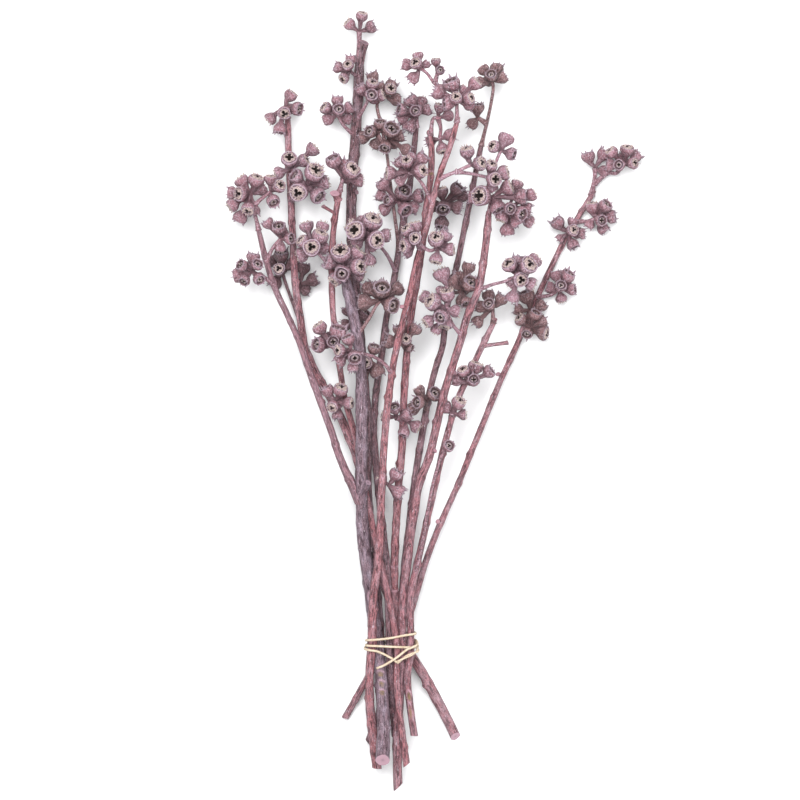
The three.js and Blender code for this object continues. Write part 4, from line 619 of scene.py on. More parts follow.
def add_bar(shape, path, radii, sides, tint, roughness, seed, end_pale=0.0, slant=(0, 0, 0), nodes=(),
            marks=()):
    """A woody bar along the path with an uneven, lightly fluted skin and both ends closed. Nodes are bumps on
    one side of it, marks are scars painted on it, and the slant is that of its first end."""
    side, lift, ahead = frames_along(path)
    angle = np.arange(sides) / sides * 2 * math.pi
    ring = np.stack([np.cos(angle), np.sin(angle)], 1)
    run = run_along(path)
    radii = np.asarray(radii, float)
    across = np.repeat(ring[None], len(path), 0).reshape(-1, 2)
    length = np.repeat(run, sides)
    local = np.repeat(radii, sides)
    where = np.column_stack([across * 1.4, length * 0.05])
    flutes = bumps(where, 1.0, seed) * roughness
    lumps = bumps(np.column_stack([across * 0.6, length * 0.16]), 1.0, seed + 40) * roughness * 0.8
    size = local * (1 + flutes + lumps)
    turn = np.tile(angle, len(path))
    for at, facing, height in nodes:
        off = (turn - facing + math.pi) % (2 * math.pi) - math.pi
        size = size + height * np.exp(-((length - at) / KNUCKLE_LENGTH) ** 2 - (off / KNUCKLE_WIDTH) ** 2)
    spots = (np.repeat(path, sides, 0) + np.repeat(side, sides, 0) * (across[:, :1] * size[:, None])
             + np.repeat(lift, sides, 0) * (across[:, 1:] * size[:, None]))
    reach = 1 - np.clip(length / (SLANT_REACH * radii[0]), 0, 1)
    offset = spots - np.repeat(path, sides, 0)
    spots = spots + np.repeat(ahead, sides, 0) * ((offset @ np.array(slant, float)) * reach)[:, None]
    grain = np.column_stack([across * local[:, None], length]) + [seed * 7.0, seed * 3.0, seed * 11.0]
    pale, deep, scar = paint(marks, spots, turn, local)
    first = shape.add(spots, grain, pale, deep, tint, scar)
    shape.skin(first, len(path), sides)
    for end, flip in ((0, True), (len(path) - 1, False)):
        rim = spots[end * sides:(end + 1) * sides]
        middle = rim.mean(0)
        out = ahead[end] * (-1 if flip else 1)
        domed = 0.0 if end == 0 and end_pale else END_DOME
        rings = []
        for share in (0.97, 0.7, 0.35):
            rings.append(middle + (rim - middle) * share + out * radii[end] * domed * (1 - share ** 2))
        caps = np.vstack([rim, *rings, middle[None] + out * radii[end] * domed])
        cap_grain = np.column_stack([np.zeros((len(caps), 2)), np.linalg.norm(caps - middle, axis=1)]) + seed
        cap_pale = end_pale if end == 0 else 0.0
        pith = 0.0
        if radii[0] > PITH_FROM and cap_pale:
            pith = np.concatenate([np.zeros(sides * 3), np.full(sides, 0.05), [0.4]])
        start = shape.add(caps, cap_grain, pale=cap_pale, deep=pith, tint=tint)
        shape.skin(start, 4, sides, flip)
        shape.close(start + 3 * sides, sides, start + 4 * sides, flip)


def paint(marks, spots, turn, radius):
    """How pale, dark and scarred the bar's points are, from the scars listed for it."""
    pale, deep, scar = np.zeros(len(spots)), np.zeros(len(spots)), np.zeros(len(spots))
    for kind, y, facing, half_length, half_width in marks:
        across = ((turn - math.radians(facing) + math.pi) % (2 * math.pi) - math.pi) * radius / half_width
        up = (spots[:, 1] - y) / half_length
        reach = np.hypot(across, up)
        if kind == "olive":
            scar = np.maximum(scar, np.clip((1.1 - reach) / 0.4, 0, 1))
            pale = np.maximum(pale, 0.8 * np.exp(-((reach - 1.4) / 0.2) ** 2) * np.clip(up, 0, 1))
        else:
            pale = np.maximum(pale, 0.9 * np.exp(-((reach - 1) / 0.3) ** 2))
            deep = np.maximum(deep, 0.6 * np.clip((0.7 - reach) / 0.3, 0, 1))
    return pale, deep, scar


# Seed capsules

CUP_SIDES = 32
# Rings up a capsule's outside and over its rim: height and radius, as shares of the capsule's radius.
CUP_BODY = [(0.0, 0.36), (0.12, 0.45), (0.28, 0.59), (0.48, 0.75), (0.7, 0.89), (0.92, 0.97), (1.12, 1.0)]
OPEN_RIM = [(1.27, 0.985), (1.37, 0.95), (1.42, 0.90), (1.39, 0.85), (1.30, 0.80), (1.29, 0.74), (1.31, 0.69),
            (1.40, 0.63), (1.45, 0.56)]
BELL_RIM = [(1.30, 0.96), (1.43, 0.91), (1.49, 0.86), (1.46, 0.80), (1.34, 0.74), (1.22, 0.67), (1.15, 0.60),
            (1.14, 0.52), (1.17, 0.44)]
# How pale those rim rings are, and how dark with painted shade in the groove and down the throat, for an open
# mouth and for a bell.
RIM_PALE = {True: [0.0, 0.15, 0.7, 0.4, 0.0, 0.1, 0.1, 0.85, 1.0],
            False: [0.0, 0.1, 0.5, 0.3, 0.0, 0.0, 0.0, 0.3, 0.6]}
RIM_PAINTED_SHADE = {True: [0.0, 0.0, 0.0, 0.1, 0.3, 0.15, 0.6, 0.0, 0.0],
            False: [0.0, 0.0, 0.0, 0.15, 0.5, 0.7, 0.8, 0.6, 0.3]}
STALK_RADIUS, FOOT_RADIUS = 0.2, 0.34  # a stalk's at the hub and at the cup, as shares of the capsule's
WOBBLE = 0.045  # how far a cup is from round, once for each lobe
RIBS, RIB_HEIGHT = 11, 0.012
DENTS = ((1.3, 0.06), (4.5, 0.03))  # how fine and how deep the dents in a capsule's skin are
LOBE_OUT, LOBE_SIZE, LOBE_NECK = 0.50, 0.42, 0.18  # the mouth's round lobes, as shares of its edge


SPIKE_SIDES, SPIKE_FLATNESS, SPIKE_BEND = 5, 0.6, 0.35
THREE_LOBED = 0.45  # share of the capsules with three lobes; the rest have four
BELL_TEETH = [0.25, 0.35, 0.45, 0.6]  # lengths of a bell's teeth, as shares of its radius


def add_spike(shape, root, way, out, length, width, tint, pale):
    """One thin tooth, bent a little outward."""
    sides, t = SPIKE_SIDES, np.array([0, 0.35, 0.7, 1.0])
    path = root + np.outer(t, way) * length + np.outer(t ** 2, out) * length * SPIKE_BEND
    side, lift, _ = frames_along(path)
    angle = np.arange(sides) / sides * 2 * math.pi
    radii = width * np.array([1.0, 0.75, 0.42, 0.06])
    reach = radii[:, None, None]
    spots = ring_round(path, side, lift, angle, reach, reach * SPIKE_FLATNESS)
    fade, shadow = (0.1, 0.0) if pale > 0.9 else (0.3, 0.25)
    first = shape.add(spots, spots * 1.5, pale=np.repeat(pale * (1 - fade * t), sides),
                      deep=np.repeat(shadow * t, sides), tint=tint)
    shape.skin(first, 4, sides)
    tip = shape.add(path[-1:], path[-1:] * 1.5, pale=pale * (1 - fade), deep=shadow, tint=tint)
    shape.close(first + 3 * sides, sides, tip, False)


def add_capsule(shape, capsule, open_mouth, chance):
    """A capsule on its stalk: one skin from the knuckle, round the cup, over the rim and into the mouth."""
    hub, aim, radius = capsule["hub"], capsule["aim"], capsule["radius"]
    foot = capsule["centre"] - aim * CUP_CENTRE * radius
    tint, turn = chance.random(), chance.random() * 2 * math.pi
    lobes = 3 if chance.random() < THREE_LOBED else 4
    gap = np.linalg.norm(foot - hub)
    bend = hub + aim * gap * 0.45
    t = np.linspace(0, 1, 6)[:-1, None]
    stalk = (1 - t) ** 2 * hub + 2 * t * (1 - t) * bend + t ** 2 * foot
    rim = OPEN_RIM if open_mouth else BELL_RIM
    profile = CUP_BODY + rim
    heights = np.array([h for h, _ in profile])
    path = np.vstack([stalk, foot + np.outer(heights * radius, aim)])
    side, lift, _ = frames_along(np.vstack([stalk, foot, foot + aim * radius]))
    side, lift = ([*way[:-1], *[way[-1]] * (len(profile) - 1)] for way in (side, lift))
    side, lift = np.array(side), np.array(lift)
    thin = STALK_RADIUS * radius
    drawn_in = 1 - chance.uniform(0, 0.14) * np.clip((heights - 0.7) / 0.5, 0, 1)
    widths = np.array([r for _, r in profile]) * drawn_in * radius
    radii = np.concatenate([thin + (FOOT_RADIUS * radius - thin) * np.linspace(0, 1, 5) ** 1.5, widths])
    angle = np.arange(CUP_SIDES) / CUP_SIDES * 2 * math.pi + turn
    ring = np.stack([np.cos(angle), np.sin(angle)], 1)
    seed = chance.random() * 90
    wobble = 1 + WOBBLE * np.sin(lobes * angle + turn * 2)[None] * np.clip(radii / radius, 0, 1)[:, None]
    ribs = 1 + RIB_HEIGHT * np.sin(RIBS * angle + turn)[None] * (radii[:, None] > 0.4 * radius)
    spots = (path[:, None] + (side[:, None] * ring[None, :, :1] + lift[:, None] * ring[None, :, 1:])
             * (radii[:, None] * wobble * ribs)[..., None]).reshape(-1, 3)
    where = (spots - foot) / radius
    dents = sum(bumps(where, scale, seed) * depth for scale, depth in DENTS) * radius
    outward = unit(spots - (foot + aim * CUP_CENTRE * radius))
    spots = spots + outward * dents[:, None]
    plain = len(path) - len(rim)
    pale = np.concatenate([np.full(plain, 0.0), RIM_PALE[open_mouth]])
    # Painted shade: darker down the stalk and the foot of the cup, where capsules crowd at the hub, and in
    # the rim's groove and throat.
    deep = np.concatenate([np.linspace(0.4, 0.0, plain), RIM_PAINTED_SHADE[open_mouth]])
    body = np.concatenate([np.linspace(0, 0.5, 5), 0.5 + heights])
    around = np.tile(ring, (len(path), 1)) * radius
    grain = np.column_stack([around, np.repeat(body * radius, CUP_SIDES)]) + seed
    first = shape.add(spots, grain, np.repeat(pale, CUP_SIDES), np.repeat(deep, CUP_SIDES), tint)
    # The mouth: a lobed hole between pointed valves, with painted shade inside: its walls and floor are
    # coloured near black.
    axis_side, axis_lift = side[-1], lift[-1]
    off = (angle * lobes / (2 * math.pi) + 0.5) % 1 - 0.5
    off = off * 2 * math.pi / lobes
    lobe = 0.5 + 0.5 * np.cos(lobes * angle)
    edge = rim[-1][1] * drawn_in[-1]
    inside = np.clip(LOBE_SIZE ** 2 - (LOBE_OUT * np.sin(off)) ** 2, 0, None)
    hole = np.maximum(LOBE_NECK, (LOBE_OUT * np.cos(off) + np.sqrt(inside)) * (inside > 0))
    hole = hole * edge * chance.uniform(0.72, 1.02)
    top = rim[-1][0]
    valves = [(edge * 0.5 + hole * 0.5, top + 0.05 + 0.05 * (1 - lobe), 0.95, 0.0),
              (hole * 1.08, top + 0.05 + 0.12 * (1 - lobe), 0.9, 0.1),
              (hole, top + 0.07 * (1 - lobe), 0.35, 0.75),
              (hole * 0.93, top - 0.2, 0.0, 1.0),
              (hole * 0.6, top - 0.5, 0.0, 1.0)]
    for reach, height, valve_pale, valve_painted_shade in valves:
        spot = (foot + np.outer(np.broadcast_to(height, angle.shape) * radius, aim)
                + (axis_side * ring[:, :1] + axis_lift * ring[:, 1:]) * (reach * radius)[:, None])
        shape.add(spot, spot * 1.5, valve_pale, valve_painted_shade, tint)
    rings = len(path) + len(valves)
    shape.skin(first, rings, CUP_SIDES)
    # A shallow floor closes the hole, coloured fully with painted shade.
    bottom = foot + aim * (top - 0.55) * radius
    centre = shape.add(bottom[None], bottom[None], 0.0, 1.0, tint)
    shape.close(first + (rings - 1) * CUP_SIDES, CUP_SIDES, centre, False)
    add_teeth(shape, capsule, foot, (axis_side, axis_lift), lobes, open_mouth, top, edge, tint, chance)


def add_teeth(shape, capsule, foot, across, lobes, open_mouth, top, edge, tint, chance):
    """Spiky valve tips round the mouth, and on open capsules a ragged fringe inside the rim."""
    aim, radius = capsule["aim"], capsule["radius"]
    for k in range(lobes):
        bearing = (k + 0.5) / lobes * 2 * math.pi
        out = across[0] * math.cos(bearing) + across[1] * math.sin(bearing)
        root = foot + aim * (top - 0.02) * radius + out * edge * 0.62 * radius
        way = unit(aim + out * chance.uniform(-0.1, 0.35))
        length, width = chance.uniform(0.15, 0.34), chance.uniform(0.08, 0.13)
        add_spike(shape, root, way, out, radius * length, radius * width, tint, 1.0)
    count, rim_out, rim_up = (13, 0.68, 1.34) if open_mouth else (6, 0.82, 1.4)
    for k in range(count):
        bearing = (k + chance.uniform(0, 0.8)) / count * 2 * math.pi
        out = across[0] * math.cos(bearing) + across[1] * math.sin(bearing)
        root = foot + aim * rim_up * radius + out * (rim_out + chance.uniform(-0.1, 0.04)) * radius
        way = unit(aim + out * chance.uniform(-0.45, 0.3))
        length = chance.uniform(0.2, 0.48) if open_mouth else chance.choice(BELL_TEETH)
        width = chance.uniform(0.08, 0.14) if open_mouth else chance.uniform(0.13, 0.22)
        add_spike(shape, root, way, out, radius * length, radius * width, tint, 1.0 if open_mouth else 0.45)


# Stems, sprays and tie

STEM_SIDES = 28
BARK_STEP = 0.9  # mm between the rings of a stem
TWIG_SIDES = 10


def stem_curve(stem):
    """The settled stem as a fine path with its radius at each point."""
    curve = curve_along(stem["centre"])
    steps = int((stem["high"] - stem["low"]) / BARK_STEP)
    heights = np.linspace(stem["low"], stem["high"], steps + 1)
    path = np.array([curve(y) for y in heights])
    return path, np.interp(heights, stem["y"], stem["radius"])


def knots(path, radii, chance):
    """Swellings where leaves and twigs once grew, at uneven spacings: the new radii, and a bump at each."""
    run = run_along(path)
    swell, nodes = np.ones(len(path)), []
    here = chance.uniform(8, 25)
    while here < run[-1]:
        swell += chance.uniform(0.03, 0.14) * np.exp(-((run - here) / chance.uniform(1.2, 2.6)) ** 2)
        nodes.append((here, chance.uniform(0, 2 * math.pi), chance.uniform(0.3, 0.9)))
        here += chance.uniform(9, 26)
    return radii * swell, nodes


def add_stub(shape, stem, y, bearing, lift, length, radius, pale_end, tint, chance):
    """A short broken or pruned side twig."""
    start = on_stem(stem, y)
    way = direction(bearing, lift)
    path = smooth_path([start + way * length, start + way * length * 0.4, start], 0.8)
    flare = 1 + 0.3 * np.linspace(1, -1, len(path)) ** 2
    add_bar(shape, path, radius * flare, 14, tint, 0.12, chance.random() * 50, end_pale=pale_end,
            slant=(0.3, 0.2, 0.3))


# Slants of the cut ends that face upward or run to a point: mm along the stem for each mm across.
CUTS = {"left": (0, 0.2, 0.9), "lilac": (0, 0, 0.8), "mid_right": (0.9, 0, 0), "back_right": (-0.7, 0, 0.1),
        "right": (-0.2, 0, 0.1), "far_right": (0.3, 0, 0.2)}
# Broken and pruned side twigs: stem, height along it, bearing, lift, length, radius, how pale the end is.
STUBS = [
    ["tall", 191, 78, 14, 17, 2, 0.3], ["mid_left", 115, 118, 35, 5, 2, 0.6],
    ["mid_left", 107, 150, 20, 9, 0.9, 0.2], ["mid", -116, 95, 22, 7, 2, 0.3],
    ["far_right", 14, 160, 40, 4, 1, 0.3], ["far_right", -70, 190, 50, 3.6, 1, 0.3],
    ["mid_right", -30, 20, 40, 4, 1.1, 0.3], ["right", 31, 8, 5, 15, 1.1, 0.3],
    ["front", 52, 150, 40, 3.5, 1, 0.3], ["tall", 120, 10, 50, 4.5, 1.2, 0.3],
    ["left", 20, 190, 30, 4, 1.1, 0.3], ["back_mid", -60, 30, 60, 4, 1.1, 0.3],
    ["lilac", -58, 70, 35, 14, 1.4, 0.2], ["mid_right", 15, 15, 30, 3.5, 1.1, 0.3],
]
# Scars on the bark: stem, then kind, height along it, degrees round it, half its length and half its width.
SCARS = [
    ["lilac", "ring", -113.5, 88, 3, 1.7], ["lilac", "olive", -158, 92, 1.6, 1.7],
    ["lilac", "olive", -163.5, 92, 1.6, 1.7], ["lilac", "olive", -168.5, 92, 1.4, 1.7],
    ["mid", "ring", -96.5, 90, 0.5, 2.6], ["right", "olive", -171, 85, 2.6, 1],
    ["right", "olive", -180, 95, 4, 0.8], ["front", "ring", -44, 80, 0.8, 0.9],
    ["mid", "olive", 130, 85, 1.2, 1.6], ["tall", "ring", 62, 100, 1.2, 1.1],
]


TIP_TAPER, TIP_RINGS = 0.35, 4  # how much a stem narrows at its tip, and over how many rings
COLLAR, COLLAR_RINGS = 0.5, 11  # how much the lilac stem's leader thickens where it leaves the stem


def stem_piece(names, seed):
    """The stem, or the lilac stem and its leader, with their scars and stubs."""
    chance = np.random.default_rng(seed)
    shape = Shape()
    for name in names:
        stem = stems[name]
        path, radii = stem_curve(stem)
        radii, nodes = knots(path, radii, chance)
        tint = chance.uniform(0, 0.3)
        radii = radii * (1 - TIP_TAPER * np.exp(-np.arange(len(path))[::-1] / TIP_RINGS))
        if name == "lilac_fork":
            radii = radii * (1 + COLLAR * np.exp(-np.arange(len(path)) / COLLAR_RINGS))
            tint = 1
        marks = [scar[1:] for scar in SCARS if scar[0] == name]
        cut = CUTS.get(name, (chance.uniform(-0.7, 0.7), 0, chance.uniform(-0.1, 0.3)))
        add_bar(shape, path, radii, STEM_SIDES, tint, 0.1, chance.random() * 50, 1, cut, nodes, marks)
        for stub in STUBS:
            if stub[0] == name:
                add_stub(shape, stem, *stub[1:], tint, chance)
    return shape.build(f"{names[0]}_stem")


# Sprays whose twigs are thicker, and the share of each colour's capsules that have opened.
THICK_TWIGS = {"tall_top": 1.5, "left_tip": 1.2, "far_right_top": 1.2}
OPEN_SHARE = {"pale": 0.9, "mauve": 0.4, "brown": 0.2, "dusk": 0.2}


def spray_piece(spray, seed):
    """The spray's twigs, flared at both ends, and its capsules."""
    chance = np.random.default_rng(seed)
    shape = Shape()
    for path in spray["twigs"]:
        path = smooth_path(path, 1.2)
        radii = np.linspace(1.0, 0.8, len(path)) * THICK_TWIGS.get(spray["name"], 1) * TWIG_DIAMETER / 2
        ring = np.arange(len(path))
        radii = radii + 0.9 * np.exp(-ring / 2.2) + 0.35 * np.exp(-ring[::-1] / 1.5)
        add_bar(shape, path, radii, TWIG_SIDES, chance.random(), 0.12, chance.random() * 50)
    for capsule in spray["capsules"]:
        add_capsule(shape, capsule, chance.random() < OPEN_SHARE[spray["colour"]], chance)
    return shape.build(f"{spray['name']}_capsules")


def bundle_outline(y):
    """How far the bundle reaches from its middle in each direction at this height."""
    discs = []
    for stem in stem_list:
        if stem["low"] < y < stem["high"]:
            centre = on_stem(stem, y)
            discs.append((centre[0], centre[2], float(np.interp(y, stem["y"], stem["reach"]))))
    discs = np.array(discs)
    middle = discs[:, :2].mean(0)
    lean = np.linspace(-1.4, 1.4, 41)

    def at(angle, offset):
        facing = angle + lean
        support = ((discs[:, :2] - middle) @ np.stack([np.cos(facing), np.sin(facing)]) + discs[:, 2:]).max(0)
        distance = ((support + offset) / np.cos(lean)).min()
        return np.array([middle[0] + distance * math.cos(angle), y, middle[1] + distance * math.sin(angle)])

    return at


TIE_SIDES = 12
TIE_STEP = 3  # degrees round the bundle
# The strand, from its loose end: degrees round the bundle (0 right, 90 in front, 180 left), height along the
# bunch, and how far it lies off the stems.
TIE_PATH = [
    [122, -154.3, 1.6], [108, -152.6, 1.6], [80, -148.4, 1.8], [53, -143.6, 1.6], [8, -139, 0.9],
    [-40, -138.5, 0.4], [-90, -138.5, 0.2], [-135, -138.6, 0.1], [-180, -138.8, 0], [-225, -138, 0],
    [-270, -136.8, 0], [-315, -135.2, 0], [-360, -133.8, 0], [-405, -134.5, 0], [-450, -136.5, 0.2],
    [-495, -139.2, 0.2], [-540, -140.6, 0], [-623, -141.9, 0], [-695, -142.6, 0], [-720, -142.2, 0.1],
    [-765, -141.4, 0.4], [-810, -141, 0.5], [-855, -141, 0.5], [-900, -141.3, 0.7], [-955, -144.3, 0.7],
    [-992, -148.9, 0.7], [-1004, -150.9, 0.7],
]
# Its far end comes back from the corner as two strands twisted together.
TIE_DOUBLED = [
    [-1004, -150.9, 0.8], [-1025, -147.9, 0.8], [-1075, -142.4, 0.9], [-1092, -141.2, 0.8],
    [-1108, -140.4, 0.4],
]
TIE_TWIST = 0.5  # mm from the middle of the doubled part to each strand
TIE_GAP = 0.1  # mm between the strand and the bundle


def add_strand(shape, way, twist_start=None):
    """A round strand that follows the way, or one of the two twisted along it."""
    way = np.array(way, float)
    turns = np.linspace(way[0, 0], way[-1, 0], int(abs(way[-1, 0] - way[0, 0]) / TIE_STEP) + 1)
    height = np.interp(-turns, -way[:, 0], way[:, 1])
    lift = np.interp(-turns, -way[:, 0], way[:, 2])
    radius = TIE_STRAND / 2
    if twist_start is not None:
        phase = twist_start + np.linspace(0, 3.2 * math.pi, len(turns))
        height, lift = height + TIE_TWIST * np.cos(phase), lift + TIE_TWIST * (1 + np.sin(phase))
        radius = radius * 0.85
    path = np.array([bundle_outline(y)(math.radians(turn), radius + TIE_GAP + up)
                     for turn, y, up in zip(turns, height, lift)])
    path[1:-1] = (path[:-2] + 2 * path[1:-1] + path[2:]) / 4
    side, lift, _ = frames_along(path, (0, 1, 0))
    angle = np.arange(TIE_SIDES) / TIE_SIDES * 2 * math.pi
    run = run_along(path)
    twist = 1 + 0.08 * np.cos(2 * (angle[None] - run[:, None] * 1.1))
    ring = radius * twist[..., None]
    spots = ring_round(path, side, lift, angle, ring * 0.95, ring * 0.85)
    spin = angle[None] - run[:, None] * 0.8
    length = np.repeat(run[:, None], TIE_SIDES, 1) * 0.4
    grain = np.stack([np.cos(spin), np.sin(spin), length], 2).reshape(-1, 3)
    # Painted shade: the strand's two edges are marked to be coloured darker, as a round strand turns from the
    # light.
    edge = np.tile(np.abs(np.cos(angle)) ** 3, len(path))
    first = shape.add(spots, grain, deep=edge)
    shape.skin(first, len(path), TIE_SIDES)
    for end, flip in ((0, True), (len(path) - 1, False)):
        centre = shape.add(path[end:end + 1], grain[:1])
        shape.close(first + end * TIE_SIDES, TIE_SIDES, centre, flip)


def tie_piece():
    """The strand round the bundle and the two strands of its doubled end."""
    shape = Shape()
    add_strand(shape, TIE_PATH)
    add_strand(shape, TIE_DOUBLED, 0)
    add_strand(shape, TIE_DOUBLED, math.pi)
    return shape.build("cream_tie")


# Materials


def srgb(red, green, blue):
    """A colour given out of 255 as Blender's linear values."""
    return tuple((c / 12.92 if c <= 0.04045 else ((c + 0.055) / 1.055) ** 2.4)
                 for c in (red / 255, green / 255, blue / 255)) + (1.0,)


class Nodes:
    """Short hand for a material's node tree."""

    def __init__(self, name):
        self.material = bpy.data.materials.new(name)
        self.material.use_nodes = True
        self.tree = self.material.node_tree
        self.shader = self.tree.nodes["Principled BSDF"]

    def link(self, source, target):
        self.tree.links.new(source, target)

    def attribute(self, name, vector=False):
        node = self.tree.nodes.new("ShaderNodeAttribute")
        node.attribute_name = name
        return node.outputs["Vector" if vector else "Fac"]

    def noise(self, vector, scale, detail=4.0, rough=0.6, stretch=(1, 1, 1)):
        mapping = self.tree.nodes.new("ShaderNodeMapping")
        mapping.inputs["Scale"].default_value = stretch
        self.link(vector, mapping.inputs["Vector"])
        node = self.tree.nodes.new("ShaderNodeTexNoise")
        node.inputs["Scale"].default_value = scale
        node.inputs["Detail"].default_value = detail
        node.inputs["Roughness"].default_value = rough
        self.link(mapping.outputs["Vector"], node.inputs["Vector"])
        return node.outputs["Fac"]

    def ramp(self, value, low, high):
        node = self.tree.nodes.new("ShaderNodeMapRange")
        node.inputs["From Min"].default_value = low
        node.inputs["From Max"].default_value = high
        self.link(value, node.inputs["Value"])
        return node.outputs["Result"]

    def times(self, value, factor):
        node = self.tree.nodes.new("ShaderNodeMath")
        node.operation = "MULTIPLY"
        self.link(value, node.inputs[0])
        if isinstance(factor, (int, float)):
            node.inputs[1].default_value = factor
        else:
            self.link(factor, node.inputs[1])
        return node.outputs[0]

    def blend(self, share, first, second):
        node = self.tree.nodes.new("ShaderNodeMix")
        node.data_type = "RGBA"
        self.link(share, node.inputs["Factor"])
        for socket, colour in ((node.inputs["A"], first), (node.inputs["B"], second)):
            if isinstance(colour, tuple):
                socket.default_value = colour
            else:
                self.link(colour, socket)
        return node.outputs["Result"]

    def bump(self, height, strength, distance):
        node = self.tree.nodes.new("ShaderNodeBump")
        node.inputs["Strength"].default_value = strength
        node.inputs["Distance"].default_value = distance
        self.link(height, node.inputs["Height"])
        self.link(node.outputs["Normal"], self.shader.inputs["Normal"])


UNDERSIDE_SHADE_STRENGTH = 0.62  # how much darker painted shade makes a side or an underside
CREAM, CREAM_DARK = srgb(232, 214, 206), srgb(140, 104, 108)
RIM_LILAC = srgb(206, 190, 206)
CUT_WOOD = srgb(190, 152, 166)
# The near-black of painted shade in capsule mouths and round stalks.
CAPSULE_SHADE_DARK = srgb(34, 20, 17)
BLOOM_PALE = srgb(206, 188, 200)
ROSY, ROSY_DARK = srgb(150, 106, 115), srgb(88, 56, 63)
OLIVE = srgb(124, 102, 72)
# The darker colour of painted shade along the tie's edges.
TIE_EDGE_SHADE = srgb(150, 122, 92)


def bark_material(name, main, bloom, dark):
    """Dyed bark: fibres run along the stem, with pale bloom, scuffs and darker streaks, and painted shade on
    its sides and undersides.
    """
    nodes = Nodes(name)
    grain = nodes.attribute("grain", vector=True)
    fibres = nodes.noise(grain, 1.4, 4, 0.7, (1, 1, 0.14))
    patches = nodes.noise(grain, 0.2, 4, 0.65, (1.4, 1.4, 0.5))
    specks = nodes.noise(grain, 1.5, 3, 0.75, (1, 1, 0.6))
    scuffs = nodes.noise(grain, 1.1, 4, 0.8, (1.2, 1.2, 0.3))
    colour = nodes.blend(nodes.ramp(fibres, 0.43, 0.56), dark, main)
    colour = nodes.blend(nodes.times(nodes.ramp(patches, 0.45, 0.68), 0.6), colour, bloom)
    colour = nodes.blend(nodes.times(nodes.ramp(specks, 0.48, 0.36), 0.85), colour, dark)
    rosy = nodes.blend(nodes.ramp(fibres, 0.41, 0.58), ROSY_DARK, ROSY)
    colour = nodes.blend(nodes.times(nodes.attribute("tint"), 0.7), colour, rosy)
    colour = nodes.blend(nodes.times(nodes.ramp(scuffs, 0.59, 0.67), 0.85), colour, BLOOM_PALE)
    colour = nodes.blend(nodes.times(nodes.attribute("scar"), nodes.ramp(specks, 0.36, 0.54)), colour, OLIVE)
    # painted shade on the sides and undersides
    colour = nodes.blend(nodes.times(nodes.attribute("painted_underside_shade"), UNDERSIDE_SHADE_STRENGTH), colour, dark)
    colour = nodes.blend(nodes.attribute("pale"), colour, CUT_WOOD)
    colour = nodes.blend(nodes.attribute("deep"), colour, dark)
    nodes.link(colour, nodes.shader.inputs["Base Color"])
    nodes.shader.inputs["Roughness"].default_value = 0.62
    nodes.bump(specks, 0.8, 0.001)
    return nodes.material


def capsule_material(name, main, bloom, dark):
    """Dyed capsule: mottled skin, pale rims and teeth, and painted shade in the mouth, round the stalk and on
    sides and undersides.
    """
    nodes = Nodes(name)
    grain = nodes.attribute("grain", vector=True)
    mottle = nodes.noise(grain, 0.5, 4, 0.65)
    fine = nodes.noise(grain, 1.1, 3, 0.7)
    wrinkles = nodes.noise(grain, 1.0, 4, 0.7, (1.8, 1.8, 0.45))
    tone = nodes.blend(nodes.times(nodes.attribute("tint"), 0.7), main, dark)
    body = nodes.blend(nodes.ramp(mottle, 0.4, 0.58), tone, main)
    body = nodes.blend(nodes.times(nodes.ramp(wrinkles, 0.5, 0.38), 0.85), body, dark)
    body = nodes.blend(nodes.times(nodes.ramp(fine, 0.5, 0.66), 0.7), body, bloom)
    # painted shade on the sides and undersides
    body = nodes.blend(nodes.times(nodes.attribute("painted_underside_shade"), UNDERSIDE_SHADE_STRENGTH), body, dark)
    rim = nodes.blend(nodes.ramp(fine, 0.42, 0.54), CREAM_DARK, CREAM)
    rim = nodes.blend(nodes.ramp(nodes.attribute("pale"), 0.7, 0.9), RIM_LILAC, rim)
    body = nodes.blend(nodes.attribute("pale"), body, rim)
    # painted shade in the mouth, the rim's groove and round the stalk
    body = nodes.blend(nodes.attribute("deep"), body, CAPSULE_SHADE_DARK)
    nodes.link(body, nodes.shader.inputs["Base Color"])
    nodes.shader.inputs["Roughness"].default_value = 0.6
    nodes.bump(wrinkles, 0.9, 0.0012)
    return nodes.material


def tie_material():
    """Cream twisted band, with painted shade along its two edges."""
    nodes = Nodes("tie")
    grain = nodes.attribute("grain", vector=True)
    fibres = nodes.noise(grain, 1.2, 4, 0.7, (1.5, 1.5, 0.8))
    colour = nodes.blend(nodes.ramp(fibres, 0.35, 0.6), srgb(172, 150, 122), srgb(218, 204, 184))
    # painted shade along the strand's edges
    colour = nodes.blend(nodes.times(nodes.attribute("deep"), 0.6), colour, TIE_EDGE_SHADE)
    nodes.link(colour, nodes.shader.inputs["Base Color"])
    nodes.shader.inputs["Roughness"].default_value = 0.7
    nodes.bump(fibres, 0.5, 0.0004)
    return nodes.material


# Each dye's main colour, pale bloom and dark.
BARKS = {
    "lilac": ((130, 108, 119), (172, 158, 175), (50, 34, 43)),
    "dusk": ((128, 91, 98), (158, 133, 144), (42, 24, 30)),
    "rose": ((164, 104, 110), (188, 150, 160), (64, 32, 38)),
    "pink": ((162, 108, 116), (188, 158, 168), (62, 33, 40)),
}
CAPSULES = {
    "mauve": ((158, 113, 124), (212, 190, 202), (48, 27, 33)),
    "pale": ((164, 122, 135), (218, 200, 212), (54, 32, 40)),
    "brown": ((138, 101, 103), (192, 168, 174), (42, 25, 29)),
    "dusk": ((108, 75, 81), (160, 136, 146), (32, 18, 22)),
}
MATERIALS = {}
for kind, dyes, make_material in (("bark", BARKS, bark_material), ("capsule", CAPSULES, capsule_material)):
    for dye, colours in dyes.items():
        slot_name = f"{kind}_{dye}"
        MATERIALS[slot_name] = make_material(slot_name, *(srgb(*colour) for colour in colours))
MATERIALS["tie"] = tie_material()


def finish(piece, slot, nodes):
    """Gives the piece its material, hides the CAD node that it replaces, and sets it on its body."""
    piece.data.materials.append(MATERIALS[slot])
    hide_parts(nodes)
    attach(piece, "root")


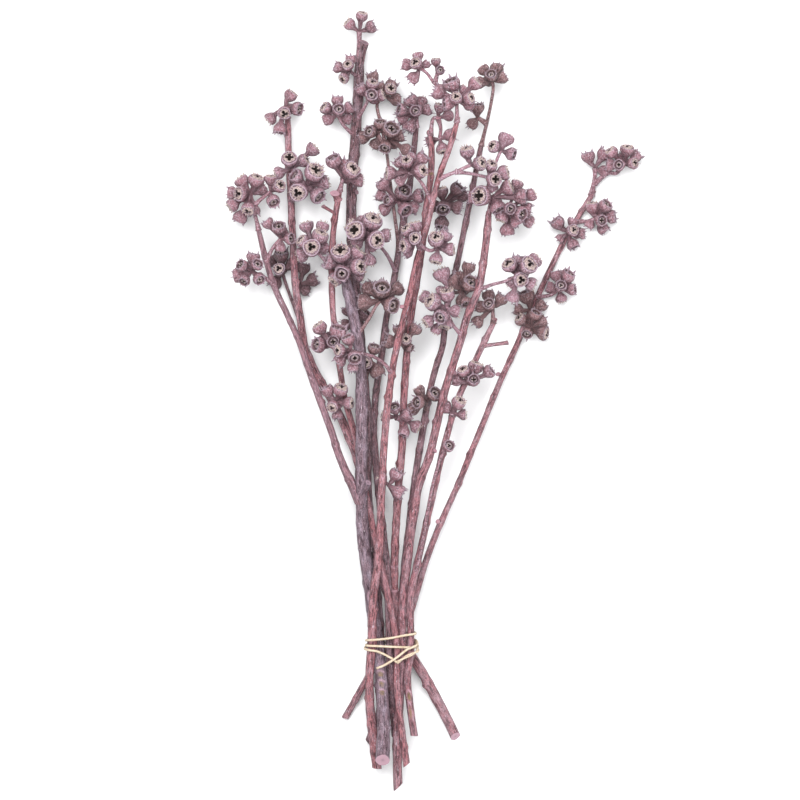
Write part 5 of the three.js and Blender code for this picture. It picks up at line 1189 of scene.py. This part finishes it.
for number, stem in enumerate(stem_list):
    if stem["name"] == "lilac_fork":
        continue
    names = ["lilac", "lilac_fork"] if stem["name"] == "lilac" else [stem["name"]]
    finish(stem_piece(names, number), f"bark_{stem['colour']}", f"stem_{stem['name']}")
for number, spray in enumerate(sprays):
    finish(spray_piece(spray, 100 + number), f"capsule_{spray['colour']}", f"spray_{spray['name']}")
finish(tie_piece(), "tie", "tie")


# Surface, light and camera

VIEW_WIDTH = 0.46  # metres across the picture at the height of the bunch
VIEW_MIDDLE = ((ORIGIN[0] - 19.8) * MM, ORIGIN[1] * MM, 0.035)
LENS = 180


def floor():
    bpy.ops.mesh.primitive_plane_add(size=6, location=(0, 0, -0.0002))
    plane = bpy.context.object
    nodes = Nodes("floor")
    nodes.shader.inputs["Base Color"].default_value = (0.92, 0.92, 0.93, 1)
    nodes.shader.inputs["Roughness"].default_value = 0.9
    plane.data.materials.append(nodes.material)


def soft_light(name, place_at, size, power):
    data = bpy.data.lights.new(name, "AREA")
    data.shape, data.size, data.energy = "DISK", size, power
    lamp = bpy.data.objects.new(name, data)
    bpy.context.collection.objects.link(lamp)
    lamp.location = place_at
    lamp.rotation_euler = (Vector((0, 0, 0.02)) - Vector(place_at)).to_track_quat("-Z", "Y").to_euler()


def camera():
    data = bpy.data.cameras.new("camera")
    data.lens = LENS
    data.sensor_width = 36
    lens = bpy.data.objects.new("camera", data)
    bpy.context.collection.objects.link(lens)
    x, y, z = VIEW_MIDDLE
    lens.location = (x, y, z + VIEW_WIDTH * LENS / data.sensor_width)
    bpy.context.scene.camera = lens


def surroundings():
    world = bpy.data.worlds.new("studio")
    bpy.context.scene.world = world
    world.use_nodes = True
    background = world.node_tree.nodes["Background"]
    background.inputs["Color"].default_value = (1, 1, 1, 1)
    background.inputs["Strength"].default_value = 0.4
    bpy.context.scene.view_settings.view_transform = "Standard"


floor()
soft_light("overhead", (-0.15, 0.35, 1.6), 1.0, 40)
soft_light("fill", (0.7, -0.4, 1.3), 0.8, 7)
camera()
surroundings()
